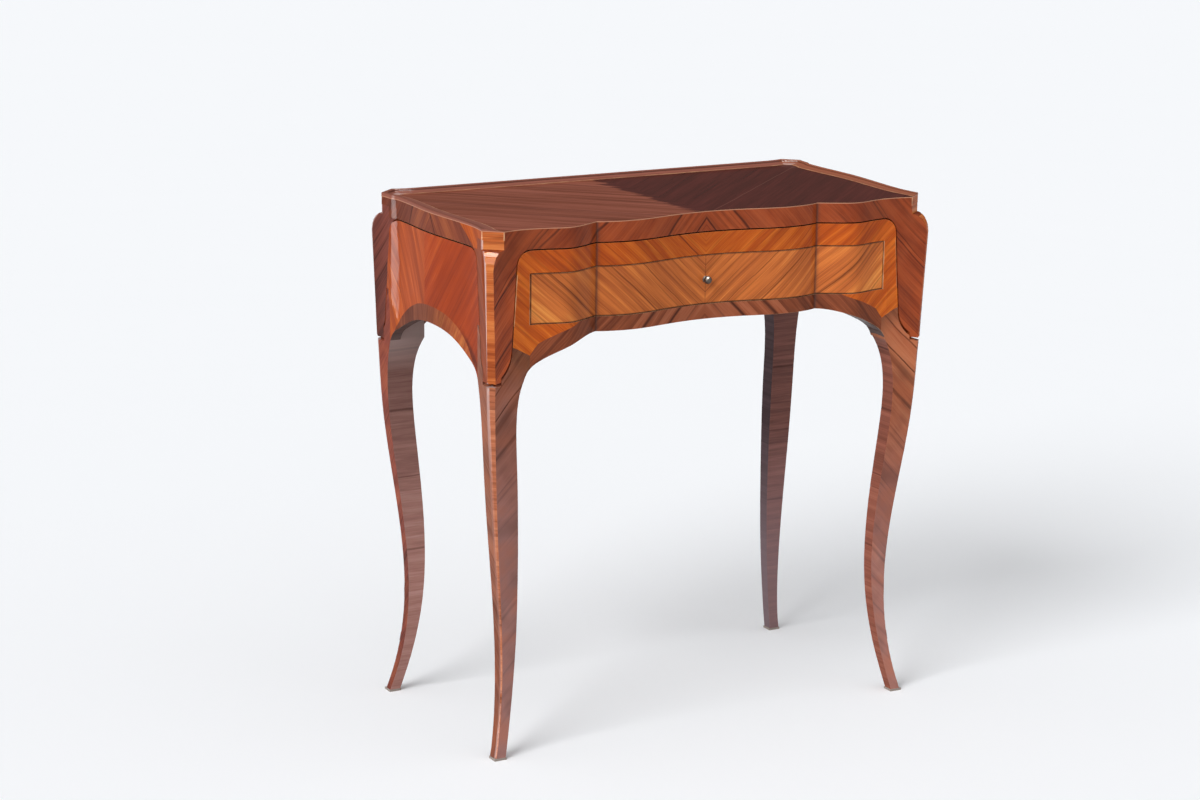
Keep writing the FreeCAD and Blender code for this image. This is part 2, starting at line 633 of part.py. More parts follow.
nodes["left_rim_corner"] = across_x(rim_corner)

os.makedirs("parts", exist_ok=True)
for name, shape in nodes.items():
    shape.exportStep("parts/" + name + ".step")
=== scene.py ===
"""Looks of the bed table: softened arrises, polished veneers in matched leaves and a pale studio."""
import math

import bmesh
import bpy
import numpy as np
from mathutils import Euler, Matrix, Vector
from mathutils.bvhtree import BVHTree


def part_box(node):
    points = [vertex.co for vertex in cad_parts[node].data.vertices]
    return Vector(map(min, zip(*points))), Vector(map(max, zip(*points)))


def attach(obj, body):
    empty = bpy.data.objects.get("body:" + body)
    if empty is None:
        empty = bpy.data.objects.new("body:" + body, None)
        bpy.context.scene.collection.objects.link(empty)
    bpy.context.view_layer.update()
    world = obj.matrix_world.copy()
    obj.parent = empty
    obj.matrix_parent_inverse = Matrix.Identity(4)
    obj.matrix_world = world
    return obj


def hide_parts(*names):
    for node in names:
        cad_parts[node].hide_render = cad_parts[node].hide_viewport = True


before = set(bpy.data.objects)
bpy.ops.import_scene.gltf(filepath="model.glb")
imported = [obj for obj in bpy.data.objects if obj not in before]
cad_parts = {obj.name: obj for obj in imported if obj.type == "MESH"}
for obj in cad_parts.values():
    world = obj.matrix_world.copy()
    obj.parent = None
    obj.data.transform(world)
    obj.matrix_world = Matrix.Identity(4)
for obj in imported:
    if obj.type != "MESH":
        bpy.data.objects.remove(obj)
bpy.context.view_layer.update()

MM = 0.001
ARRIS_ANGLE = math.radians(28)    # edges sharper than this are arrises
FLAT_ANGLE = math.radians(0.02)
MERGE = 0.002 * MM
TOUCH = 0.6 * MM                  # closer than this, an arris lies on a neighbour
CREASE_X = 172.5 * MM             # fold of the serpentine front
SIDE_JOINT_Y = 20.0 * MM          # joint of the side panel's two leaves
SMOOTH_ANGLE = math.radians(40)   # a softened piece shades smooth over edges flatter than this
RIM_SMOOTH_ANGLE = math.radians(35)
CORNER_SEGMENTS, ARRIS_SEGMENTS = 6, 2
FLARE_SLOPE = 0.335               # how much steeper the strip before a back corner turns out
FLARE_STARTS = ((640 * MM, 710 * MM), (108.5 * MM, 116 * MM))   # heights, and the strip's start there
FLARE_ENDS = ((545 * MM, 580 * MM), (112 * MM, 125 * MM))       # heights, and the strip's end there
FLARE_WAVES = ((0.8 * MM, 7 * MM, 0), (0.4 * MM, 4.1 * MM, 1))  # both waver: reach, length, phase
FLARE_BEFORE, FLARE_AFTER = 110 * MM, 20 * MM                   # the move fades out over these
FLARE_INSIDE, FLARE_SKIN = 300 * MM, 30 * MM                    # none inside this x, all of it past the skin
FLARE_CUTS_Y = np.concatenate((np.arange(0, 100, 12), np.arange(100, 152, 1.5))) * MM
FLARE_CUTS_Z = np.arange(534, 718, 6) * MM
DRAWER_LOW, DRAWER_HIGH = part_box("drawer_front")
RIM_FALL = 3.5 * MM               # the rim's top falls by this from the back to the front corners
RIM_BACK_Y = 164.0 * MM
RIM_RUN = 342.8 * MM
BEAD = [(0.16 - 0.16 * math.cos(a), 0.72 + 0.28 * math.sin(a)) for a in np.linspace(0.0, math.pi, 9)]
QUIRK = 0.335                     # place of the sunk line between the bead and the cove
COVE = [(0.36 + 0.56 * (1 - math.cos(a)), 0.16 + 0.42 * (1 - math.sin(a)))
        for a in np.linspace(0.0, math.pi / 2, 8)]
RIM_EDGE = [(0.985, 0.16), (1.0, 0.12), (1.0, 0.0)]
RIM_PROFILE = np.array([(0.0, 0.0)] + BEAD + [(QUIRK, 0.6)] + COVE + RIM_EDGE)
RIM_STEPS = 90                    # places along a rim piece
RIM_NODES = ("back_rim", "right_rim", "left_rim", "right_rim_corner", "left_rim_corner")

# Tones run from the dark figure to the light figure of one wood
DRAWER_TONES = ("a4552a", "c46d34", "e09248")
FRIEZE_TONES = ("9a4016", "b45219", "ce6c24")
BAND_TONES = ("76321b", "8f4021", "a24d29")
APRON_TONES = ("6e3824", "8a492e", "a05c40")
BACK_POST_TONES = ("361c18", "542c26", "703a30")
CORNER_TONES = ("8c401e", "b45c2d", "cc7a42")
LEG_CORNER_TONES = ("844c34", "ac6446", "c27c5a")
SIDE_BACK_TONES = ("943e1a", "ae4d20", "c6652e")
SIDE_FRONT_TONES = ("8c3312", "a03d15", "b44e1e")
ARCH_TONES = ("5a2c1c", "703824", "864a30")
ARCH_FRONT_TONES = ("8a3a1c", "a85028", "c27038")
# Painted shade on faces that look down
UNDERSIDE_SHADE_TONES = ("5c4844", "6a5450", "78605c")
TRAY_SIDE_TONES = ("68301f", "84402b", "a45834")
LEG_TONES = ("7e4e40", "925a4a", "a26a5a")
LEG_SIDE_TONES = ("6e3c2c", "86503e", "9c644e")
BACK_LEG_SIDE_TONES = ("5a2a20", "7a3a2e", "904a3a")
PATCH_TONES = ("4e2c1e", "643a28", "784a34")
LEG_INNER_TONES = ("74504a", "866058", "94706a")
RIGHT_LEG_TONES = ("84442a", "a25a3a", "b66e48")
RIGHT_INNER_TONES = ("703e30", "8a4e3e", "9e624e")
# Painted shade: darker tones for the far right leg's inner faces
FAR_LEFT_SHADE_TONES = ("483436", "564044", "624a4e")
FAR_FRONT_SHADE_TONES = ("6c4640", "84564e", "98665e")
TOP_LEFT_TONES = ("763f2d", "905241", "9e604e")
TOP_RIGHT_TONES = ("4a241e", "562923", "643129")
RIM_TONES = ("6c3c30", "7e483a", "90584a")
RIGHT_RIM_TONES = ("6c3828", "824632", "985a42")
PINE_TONES = ("8a6a44", "ab8658", "c2a074")
WALNUT_TONES = ("7a5836", "94704a", "ad8a60")
STREAK_TONE = "34160f"
PALE_VEIN_TONE = "8e6054"
# Pale tone of the arrises: wear, and a painted highlight
RUB_AND_HIGHLIGHT_TONE = "d9a67c"
# Painted sheen: pale lilac reflection on the corner roundings and the rim's corner returns
PAINTED_SHEEN_TONE = "c0a09a"
# Painted shade in sunk places: the rim's quirk, and one post's edge by its gap
SUNK_SHADE_TONE = "351c18"
# Old wax and painted shade in the creases of the front
WAX_AND_SHADE_TONE = "4a3632"
# Painted shade in the gap round the drawer
DRAWER_GAP_SHADE_TONE = "2a140c"
# Painted shade on upper faces that the tray covers
COVERED_SHADE_TONE = "2a150c"
JOINT_TONE = "4a2416"
# Painted highlight on the edges of the top
TOP_EDGE_HIGHLIGHT_TONE = "b47c62"
WARM_CLOUD_TONE = "b0603c"
DARK_CLOUD_TONE = "50342c"
# Painted sheen on the legs
LEG_SHEEN_TONE = "9c7876"
INNER_SHEEN_TONE = "b29c98"
RIGHT_SHEEN_TONE = "8c7670"
FAR_SHEEN_TONE = "8e7a80"
PAD_TONE = "8c8078"
STEEL_TONE = "5c544e"
FLOOR_LIT_TONE = "c8c8c8"         # what the floor gives back as light
FLOOR_SEEN_TONE = "f6f8fb"        # what the eye and the polish see of it

# Single veins: a place (x, y, z) in mm, half width in mm, strength
APRON_VEINS = [((50, 0, 580), 3.0, 0.75), ((96, 0, 580), 3.6, 0.75), ((190, 0, 570), 2.0, 0.4),
               ((252, 0, 555), 3.0, 0.55)]
DRAWER_VEINS = [((70, 0, 625), 0.9, 0.6), ((118, 0, 625), 0.9, 0.5), ((215, 0, 625), 1.0, 0.55)]
LEFT_VEINS = [((-304, 0, 690), 7.0, 0.2), ((-254, 0, 703), 2.0, 0.75), ((-314, 0, 563), 2.4, 0.75)]
TRAY_VEINS = [((0, 0, 709), 1.8, 0.8), ((51, 0, 705), 2.8, 0.8), ((266, 0, 702), 1.3, 0.7),
              ((273, 0, 702), 1.0, 0.6)]
LEG_VEINS = [((310, 0, 526), 1.4, 0.85), ((318, 0, 482), 1.6, 0.85), ((310, 0, 477), 8.0, 0.5),
             ((314, 0, 431), 3.5, 0.65), ((303, 0, 195), 3.0, 0.6), ((303, 0, 156), 2.6, 0.6),
             ((290, 0, 130), 1.8, 0.5)]
INNER_VEINS = [((0, 0, 503), 2.2, 0.55), ((0, 0, 415), 2.6, 0.6), ((0, 0, 320), 1.4, 0.4),
               ((0, 0, 215), 2.0, 0.45)]
FRIEZE_VEINS = [((-26, 0, 672), 1.2, 0.6)]
SIDE_VEINS = [((0, -108 - SIDE_JOINT_Y / MM, 552), 9.0, 0.6)]
RAIL_FALLING_VEINS = [((0, 68, 705), 3.0, 0.6)]
RAIL_CLIMBING_VEINS = [((0, -3, 705), 2.0, 0.7)]
TOP_PALE_VEINS = [((140, 970, 718), 0.9, 0.3)]
TOP_VEINS = [((210, 990, 718), 2.4, 0.5), ((210, 1090, 718), 1.6, 0.35), ((210, 915, 718), 1.8, 0.35),
             ((100, 1040, 718), 1.8, 0.3)]

# Values of the figure and the polish
FINE_SHARE = 0.38                 # how much of the figure is fine
TONE_PLACES = (0.36, 0.5, 0.64)   # where a wood's three tones lie on the figure
STREAK_EDGE = (0.57, 0.67)        # a streak comes in over this part of its noise
LEAF_SHIFT = (0.37, 0.0, 0.19)    # each leaf takes its figure from elsewhere in the log
SEAM_WIDTH = 0.9                  # mm
STRAY = 0.7 * MM                  # how far a single vein wanders
STRAY_SIZE = 35 * MM
CLOUD_PATCH = 50 * MM
RUB_PATCH = 14 * MM
DULL_PATCH = 45 * MM
RIPPLE_SIZE, RIPPLE_RISE = 22 * MM, 0.06 * MM
METAL_PATCH = 3 * MM
# Heights over which the painted sheen on the corners grows
PAINTED_SHEEN_HEIGHTS = (380 * MM, 470 * MM)
WAX_AND_SHADE_SHARE = 0.65
CHAMFER_TURN = 0.4                # a corner's chamfer faces both outwards and forwards by more than this
RAIL_CHAMFER_TURN = 0.5
OUTSIDE_TURN = 0.25               # a face that looks neither way by this much is an inner one
FACES_TURN = 0.75                 # a face that looks one way by more than this belongs to that side
LOOKS_UP, LOOKS_DOWN = 0.88, -0.4

# Joints of the veneer as curves over a half width, in parts of the heights between foot and head
JOINT_FOOT, JOINT_HEAD = 500 * MM, 600 * MM
FRONT_JOINT_SPAN, SIDE_JOINT_SPAN = 300 * MM, 132 * MM
FRONT_JOINT = [(0.0, 0.91), (0.683, 0.91), (0.713, 0.87), (0.75, 0.83), (0.787, 0.79), (0.853, 0.70),
               (0.887, 0.646), (0.925, 0.50), (0.988, 0.604), (1.0, 0.62)]
SIDE_JOINT = [(0.0, 0.91), (0.15, 0.903), (0.4, 0.84), (0.7, 0.64), (0.86, 0.41), (1.0, 0.12)]
KNEE_X = 277 * MM                 # past this the front's lower band belongs to the knee
TOP_FOLD = (0.0, -1.0, 0.0)       # ahead of the table, so the top folds over from left to right alone
FEATHER = (-27 * MM, -7 * MM)     # the top's two tones meet between these
RIGHT_RIM_X = 310 * MM
RAIL_JOINT_SLOPE, RAIL_JOINT = -1.5, -1154 * MM    # slanted joint in the side rails: y + slope z


def linear(code):
    """Linear colour of an sRGB hex code, by the sRGB curve."""
    parts = [int(code[i:i + 2], 16) / 255 for i in (0, 2, 4)]
    return [c / 12.92 if c <= 0.04045 else ((c + 0.055) / 1.055) ** 2.4 for c in parts] + [1.0]


def add(tree, kind, inputs, stops=None, curve=None, bend="VECTOR", **settings):
    """Add a shader node. inputs gives a socket a value, or a node or socket to link.

    stops are a ramp's places and tones, curve and bend a curve's points and their handles.
    """
    made = tree.nodes.new("ShaderNode" + kind)
    for name, value in settings.items():
        setattr(made, name, value)
    for socket, value in inputs.items():
        if isinstance(value, bpy.types.Node):
            value = next(out for out in value.outputs if out.enabled)
        if isinstance(value, bpy.types.NodeSocket):
            tree.links.new(value, made.inputs[socket])
        else:
            made.inputs[socket].default_value = value
    if stops:
        ramp = made.color_ramp.elements
        while len(ramp) < len(stops):
            ramp.new(1.0)
        for element, (place, tone) in zip(ramp, stops):
            element.position = place
            element.color = linear(tone)
    if curve:
        points = made.mapping.curves[0].points
        while len(points) < len(curve):
            points.new(0.5, 0.5)
        for spot, place in zip(points, curve):
            spot.location = place
            spot.handle_type = bend
        made.mapping.update()
    return made


def front_grain(degrees):
    """Turn of a grain that climbs outwards over the front by that angle."""
    return (0.0, -math.radians(degrees), 0.0)


def side_grain(degrees):
    """Turn of a grain that climbs away from the joint over a side by that angle."""
    return (0.0, -math.radians(degrees), math.pi / 2)


def flat_grain(degrees):
    """Turn of a grain that lies level and runs outwards and back by that angle."""
    return (math.pi / 2, 0.0, math.radians(degrees))


LEVEL_GRAIN = (0.0, 0.0, 0.0)
CLIMBING_GRAIN = front_grain(42)
FALLING_GRAIN = front_grain(-47)
SIDE_FALLING_GRAIN = side_grain(-50)
TOP_GRAIN = flat_grain(45)


def folded(tree, joint=(0.0, 0.0, 0.0)):
    """Place from the joint, and that place folded over there, so that the leaves match like a book."""
    place = add(tree, "TexCoord", {}).outputs["Object"]
    moved = add(tree, "VectorMath", {0: place, 1: joint}, operation="SUBTRACT")
    return moved, add(tree, "VectorMath", {0: moved}, operation="ABSOLUTE")


def turned_out(tree, moved):
    """Normal folded over with its place, so that outwards is positive on both sides."""
    side = add(tree, "VectorMath", {0: moved}, operation="SIGN")
    normal = add(tree, "TexCoord", {}).outputs["Normal"]
    return add(tree, "VectorMath", {0: normal, 1: side}, operation="MULTIPLY")


def figure(tree, point, turn, tones, streak=0.3, leaf=60.0, length=160.0, breadth=11.0, seam=0.25,
           uneven=0.16):
    """Colour of sawn leaves side by side: broad and fine figure along the grain, dark streaks, thin seams.

    leaf, length and breadth are in mm. streak, seam and uneven are shares.
    """
    lay = add(tree, "Mapping", {"Vector": point, "Rotation": turn, "Scale": (1.0, 1.0, leaf * MM)},
              vector_type="TEXTURE")
    across = add(tree, "SeparateXYZ", {0: lay}).outputs["Z"]
    index = add(tree, "Math", {0: across}, operation="FLOOR")
    shade = add(tree, "TexWhiteNoise", {"W": index}, noise_dimensions="1D")
    shifted = add(tree, "VectorMath", {0: index, 1: LEAF_SHIFT, 2: point}, operation="MULTIPLY_ADD")

    def drawn_out(along, width, detail):
        stretch = (along * MM, 1.0, width * MM)
        grain = add(tree, "Mapping", {"Vector": shifted, "Rotation": turn, "Scale": stretch},
                    vector_type="TEXTURE")
        return add(tree, "TexNoise", {"Vector": grain, "Scale": 1.0, "Detail": detail, "Roughness": 0.6,
                                      "Distortion": 0.1})

    broad = drawn_out(length, breadth, 3.0)
    fine = drawn_out(length / 3, breadth / 7, 3.0)
    both = add(tree, "Mix", {0: FINE_SHARE, 2: broad, 3: fine}, data_type="FLOAT")
    value = add(tree, "Mix", {0: uneven, 2: both, 3: shade}, data_type="FLOAT")
    colour = add(tree, "ValToRGB", {0: value}, stops=list(zip(TONE_PLACES, tones)))
    vein = drawn_out(length * 1.4, breadth / 2.2, 1.0)
    dark = add(tree, "MapRange", {0: vein, 1: STREAK_EDGE[0], 2: STREAK_EDGE[1], 3: 0.0, 4: streak})
    colour = add(tree, "Mix", {0: dark, 6: colour, 7: linear(STREAK_TONE)}, data_type="RGBA")
    edge = add(tree, "Math", {0: across}, operation="FRACT")
    joint = add(tree, "MapRange", {0: edge, 1: 0.0, 2: SEAM_WIDTH / leaf, 3: seam, 4: 0.0})
    return add(tree, "Mix", {0: joint, 6: colour, 7: linear(STREAK_TONE)}, data_type="RGBA")


def veined(tree, colour, point, turn, veins, tone=STREAK_TONE):
    """Single veins along the grain, each at its place, half width and strength, wandering a little."""
    stray = add(tree, "TexNoise", {"Vector": point, "Scale": 1 / STRAY_SIZE, "Detail": 2.0})
    stray = add(tree, "MapRange", {0: stray, 1: 0.3, 2: 0.7, 3: -STRAY, 4: STRAY})
    lay = add(tree, "Mapping", {"Vector": point, "Rotation": turn}, vector_type="TEXTURE")
    across = add(tree, "SeparateXYZ", {0: lay}).outputs["Z"]
    across = add(tree, "Math", {0: across, 1: stray}, operation="ADD")
    dark = 0.0
    for place, half, share in veins:
        level = (Euler(turn).to_matrix().transposed() @ Vector(place)).z * MM
        off = add(tree, "Math", {0: across, 1: level}, operation="SUBTRACT")
        off = add(tree, "Math", {0: off}, operation="ABSOLUTE")
        near = add(tree, "MapRange", {0: off, 1: 0.3 * half * MM, 2: half * MM, 3: share, 4: 0.0})
        dark = add(tree, "Math", {0: near, 1: dark}, operation="MAXIMUM")
    return add(tree, "Mix", {0: dark, 6: colour, 7: linear(tone)}, data_type="RGBA")


def shaded(tree, colour, value, start, end, first, last):
    """The colour times a factor that runs from first to last while value runs from start to end, in mm."""
    factor = add(tree, "MapRange", {0: value, 1: start * MM, 2: end * MM, 3: first, 4: last})
    return add(tree, "Mix", {0: 1.0, 6: colour, 7: factor}, data_type="RGBA", blend_type="MULTIPLY")


def with_sheen(tree, colour, value, start, end, share, tone):
    """Painted sheen: the colour under a grey sheen that grows to its share while value runs from start to
    end, in mm.
    """
    sheen_share = add(tree, "MapRange", {0: value, 1: start * MM, 2: end * MM, 3: 0.0, 4: share})
    return add(tree, "Mix", {0: sheen_share, 6: colour, 7: linear(tone)}, data_type="RGBA")


def clouded(tree, colour, point, share):
    """Slow drift of the wood from warm to dark patches."""
    drift = add(tree, "TexNoise", {"Vector": point, "Scale": 1 / CLOUD_PATCH, "Detail": 2.0})
    warm = add(tree, "MapRange", {0: drift, 1: 0.5, 2: 0.68, 3: 0.0, 4: share})
    dark = add(tree, "MapRange", {0: drift, 1: 0.5, 2: 0.32, 3: 0.0, 4: share})
    colour = add(tree, "Mix", {0: warm, 6: colour, 7: linear(WARM_CLOUD_TONE)}, data_type="RGBA")
    return add(tree, "Mix", {0: dark, 6: colour, 7: linear(DARK_CLOUD_TONE)}, data_type="RGBA")


def polished(name, paint, rough=0.30, coat=0.22, rub_and_highlight=0.6):
    """French-polished wood: the painted figure under a thin glossy coat.

    Its arrises are rubbed pale and carry a painted highlight, its corners a painted sheen and its sunk places
    painted shade. The polish ripples.
    """
    material = bpy.data.materials.new(name)
    material.use_nodes = True
    tree = material.node_tree
    tree.nodes.clear()
    colour = paint(tree)
    place = add(tree, "TexCoord", {}).outputs["Object"]
    # Pale arrises: wear, and a painted highlight
    arris = add(tree, "Attribute", {}, attribute_name="arris").outputs["Fac"]
    patches = add(tree, "TexNoise", {"Vector": place, "Scale": 1 / RUB_PATCH, "Detail": 3.0})
    rubbed_and_lit = add(tree, "MapRange", {0: patches, 1: 0.35, 2: 0.65, 3: 0.25 * rub_and_highlight, 4: rub_and_highlight})
    rubbed_and_lit = add(tree, "Math", {0: rubbed_and_lit, 1: arris}, operation="MULTIPLY", use_clamp=True)
    colour = add(tree, "Mix", {0: rubbed_and_lit, 6: colour, 7: linear(RUB_AND_HIGHLIGHT_TONE)}, data_type="RGBA")
    # Painted sheen on the corner roundings, stronger higher up
    corner = add(tree, "Attribute", {}, attribute_name="corner").outputs["Fac"]
    height = add(tree, "SeparateXYZ", {0: place}).outputs["Z"]
    sheened = add(tree, "MapRange", {0: height, 1: PAINTED_SHEEN_HEIGHTS[0], 2: PAINTED_SHEEN_HEIGHTS[1], 3: 0.15, 4: 0.6})
    sheened = add(tree, "Math", {0: sheened, 1: corner}, operation="MULTIPLY")
    colour = add(tree, "Mix", {0: sheened, 6: colour, 7: linear(PAINTED_SHEEN_TONE)}, data_type="RGBA")
    # Painted shade where the arris mark falls below zero
    sunk_shade = add(tree, "MapRange", {0: arris, 1: -1.0, 2: 0.0, 3: 1.0, 4: 0.0})
    colour = add(tree, "Mix", {0: sunk_shade, 6: colour, 7: linear(SUNK_SHADE_TONE)}, data_type="RGBA")
    cloud = add(tree, "TexNoise", {"Vector": place, "Scale": 1 / DULL_PATCH, "Detail": 4.0})
    dull = add(tree, "MapRange", {0: cloud, 1: 0.3, 2: 0.7, 3: rough * 0.8, 4: rough * 1.25})
    ripple = add(tree, "TexNoise", {"Vector": place, "Scale": 1 / RIPPLE_SIZE, "Detail": 2.0})
    rise = add(tree, "Math", {0: ripple, 1: RIPPLE_RISE}, operation="MULTIPLY")
    relief = add(tree, "Bump", {"Height": rise, "Strength": 1.0, "Distance": 1.0})
    shader = add(tree, "BsdfPrincipled", {
        "Base Color": colour, "Roughness": dull, "Specular IOR Level": 0.0, "Coat Weight": coat,
        "Coat Roughness": rough * 0.4, "Normal": relief, "Coat Normal": relief})
    add(tree, "OutputMaterial", {"Surface": shader})
    return material


def zone(tree, value, limit, under, over):
    """One colour where value is under the limit, the other above it."""
    above = add(tree, "Math", {0: value, 1: limit}, operation="GREATER_THAN")
    return add(tree, "Mix", {0: above, 6: under, 7: over}, data_type="RGBA")


def front_only(tree, share):
    """The share on the front half of the table, nothing on the back half."""
    place = add(tree, "TexCoord", {}).outputs["Object"]
    along = add(tree, "SeparateXYZ", {0: place}).outputs["Y"]
    ahead = add(tree, "Math", {0: along, 1: 0.0}, operation="LESS_THAN")
    return add(tree, "Math", {0: share, 1: ahead}, operation="MULTIPLY")


def darkened_creases(tree, colour, point):
    """Old wax and painted shade: a soft dark line along the creases of the front, by the distance in units of
    10 mm.
    """
    x = add(tree, "SeparateXYZ", {0: point}).outputs["X"]
    off = add(tree, "Math", {0: x, 1: CREASE_X}, operation="SUBTRACT")
    off = add(tree, "Math", {0: off}, operation="ABSOLUTE")
    off = add(tree, "Math", {0: off, 1: 100.0}, operation="MULTIPLY")
    near = add(tree, "FloatCurve", {"Value": off}, curve=[
        (0.0, WAX_AND_SHADE_SHARE), (0.12, WAX_AND_SHADE_SHARE * 0.9), (0.2, WAX_AND_SHADE_SHARE * 0.35), (0.5, 0.0), (1.0, 0.0)])
    return add(tree, "Mix", {0: front_only(tree, near), 6: colour, 7: linear(WAX_AND_SHADE_TONE)}, data_type="RGBA")


def outlined(tree, colour, point):
    """Painted shade: a dark line in the gap round the drawer, by the distance from the drawer's outline."""
    half = ((DRAWER_HIGH.x - DRAWER_LOW.x) / 2, 0.0, (DRAWER_HIGH.z - DRAWER_LOW.z) / 2)
    centre = (0.0, 0.0, (DRAWER_HIGH.z + DRAWER_LOW.z) / 2)
    off = add(tree, "VectorMath", {0: point, 1: centre}, operation="SUBTRACT")
    off = add(tree, "VectorMath", {0: off}, operation="ABSOLUTE")
    off = add(tree, "SeparateXYZ", {0: add(tree, "VectorMath", {0: off, 1: half}, operation="SUBTRACT")})
    gap = add(tree, "Math", {0: off.outputs["X"], 1: off.outputs["Z"]}, operation="MAXIMUM")
    gap = add(tree, "Math", {0: gap}, operation="ABSOLUTE")
    near = add(tree, "MapRange", {0: gap, 1: 0.5 * MM, 2: 1.5 * MM, 3: 0.75, 4: 0.0})
    return add(tree, "Mix", {0: front_only(tree, near), 6: colour, 7: linear(DRAWER_GAP_SHADE_TONE)}, data_type="RGBA")


def over_joint(tree, parts, axis, half, joint, bend="VECTOR"):
    """Height of a place over a joint of the veneer, which is a curve over the half width along an axis."""
    span = add(tree, "Math", {0: parts.outputs[axis], 1: half}, operation="DIVIDE")
    edge = add(tree, "FloatCurve", {"Value": span}, curve=joint, bend=bend)
    height = add(tree, "MapRange", {0: parts.outputs["Z"], 1: JOINT_FOOT, 2: JOINT_HEAD, 3: 0.0, 4: 1.0})
    return add(tree, "Math", {0: height, 1: edge}, operation="SUBTRACT")


def above_band(tree, point):
    """Height of a place on the front over the joint of the spandrels and the lower edge band."""
    return over_joint(tree, add(tree, "SeparateXYZ", {0: point}), "X", FRONT_JOINT_SPAN, FRONT_JOINT)


def corner_zones(tree, point, outward, front, side, inner, tones):
    """A post or leg: figure of its front and side, cross-banded chamfer, and the faces turned inwards."""
    parts = add(tree, "SeparateXYZ", {0: outward})
    least = add(tree, "Math", {0: parts.outputs["X"], 1: parts.outputs["Y"]}, operation="MINIMUM")
    most = add(tree, "Math", {0: parts.outputs["X"], 1: parts.outputs["Y"]}, operation="MAXIMUM")
    lean = add(tree, "Math", {0: parts.outputs["X"], 1: parts.outputs["Y"]}, operation="SUBTRACT")
    chamfer = figure(tree, point, LEVEL_GRAIN, tones, streak=0.3, leaf=44, length=90, breadth=7)
    colour = zone(tree, lean, 0.0, front, side)
    colour = zone(tree, least, CHAMFER_TURN, colour, chamfer)
    return zone(tree, most, OUTSIDE_TURN, inner, colour)


def underneath(tree, colour):
    """Painted shade: greyer wood where a face looks down, and dark upper faces where the tray covers them."""
    place = add(tree, "TexCoord", {})
    upright = add(tree, "SeparateXYZ", {0: place.outputs["Normal"]}).outputs["Z"]
    underside_shade = figure(tree, place.outputs["Object"], LEVEL_GRAIN, UNDERSIDE_SHADE_TONES, streak=0.1, leaf=300, length=120,
                  breadth=8, seam=0.0)
    colour = zone(tree, upright, LOOKS_DOWN, underside_shade, colour)
    return zone(tree, upright, LOOKS_UP, colour, linear(COVERED_SHADE_TONE))


def band_face(tree, moved, point):
    """Front of the tray: veneer that falls outwards, unbroken from the edge band down over the posts."""
    front = figure(tree, point, FALLING_GRAIN, BAND_TONES, streak=0.25, leaf=150, seam=0.4, uneven=0.1)
    front = veined(tree, front, point, front_grain(-50), TRAY_VEINS)
    front = veined(tree, front, moved, front_grain(45), LEFT_VEINS)
    # Painted sheen: lighter towards the right
    front = shaded(tree, front, add(tree, "SeparateXYZ", {0: moved}).outputs["X"], -300, 300, 0.97, 1.05)
    return clouded(tree, front, point, 0.15)


def leg_face(tree, parts, point):
    """A leg's front and knee: diagonal grain, dark at the left knee, warmer at the right, painted sheen
    below.
    """
    front = figure(tree, point, FALLING_GRAIN, LEG_TONES, streak=0.35, leaf=90, seam=0.3, uneven=0.2)
    front = veined(tree, front, point, front_grain(-45), LEG_VEINS)
    front = shaded(tree, front, parts.outputs["Z"], 540, 340, 0.84, 1.02)
    front = shaded(tree, front, parts.outputs["Z"], 400, 300, 1.0, 1.12)
    front = shaded(tree, front, parts.outputs["Z"], 200, 80, 1.0, 0.82)
    front = shaded(tree, front, parts.outputs["X"], -300, 300, 0.95, 1.25)
    front = with_sheen(tree, front, parts.outputs["Z"], 450, 300, 0.55, LEG_SHEEN_TONE)
    patch = figure(tree, point, front_grain(-50), PATCH_TONES, streak=0.4, leaf=200)
    over = above_band(tree, point)
    warm = figure(tree, point, FALLING_GRAIN, RIGHT_LEG_TONES, streak=0.3, leaf=90, seam=0.3, uneven=0.2)
    warm = veined(tree, warm, point, front_grain(-45), LEG_VEINS)
    share = add(tree, "MapRange", {0: parts.outputs["Z"], 1: 200 * MM, 2: 430 * MM, 3: 0.15, 4: 0.8})
    warm = add(tree, "Mix", {0: share, 6: front, 7: warm}, data_type="RGBA")
    lower = add(tree, "MapRange", {0: over, 1: -0.7, 2: -0.15, 3: 0.0, 4: 1.0})
    front = add(tree, "Mix", {0: lower, 6: front, 7: patch}, data_type="RGBA")
    lower = add(tree, "MapRange", {0: over, 1: -0.3, 2: 0.0, 3: 0.0, 4: 0.7})
    warm = add(tree, "Mix", {0: lower, 6: warm, 7: patch}, data_type="RGBA")
    return clouded(tree, zone(tree, parts.outputs["X"], 0.0, front, warm), point, 0.3)


def case_paint(tree):
    """Frieze, stiles and spandrels with the grain climbing outwards, and the darker band below them."""
    moved, point = folded(tree)
    across = add(tree, "SeparateXYZ", {0: moved}).outputs["X"]
    outwards = add(tree, "SeparateXYZ", {0: point}).outputs["X"]
    frieze = figure(tree, point, CLIMBING_GRAIN, FRIEZE_TONES, streak=0.25, leaf=74, uneven=0.08)
    frieze = veined(tree, frieze, moved, front_grain(-43), FRIEZE_VEINS)
    # Painted sheen: the frieze lightens towards the right
    frieze = shaded(tree, frieze, across, -300, 300, 0.95, 1.08)
    frieze = shaded(tree, frieze, outwards, 100, 220, 0.9, 1.02)
    band = figure(tree, point, FALLING_GRAIN, APRON_TONES, streak=0.4, leaf=120, seam=0.4)
    band = veined(tree, band, point, FALLING_GRAIN, APRON_VEINS)
    knee = leg_face(tree, add(tree, "SeparateXYZ", {0: moved}), point)
    band = zone(tree, outwards, KNEE_X, band, knee)
    colour = zone(tree, above_band(tree, point), 0.0, band, frieze)
    return underneath(tree, darkened_creases(tree, outlined(tree, colour, point), point))


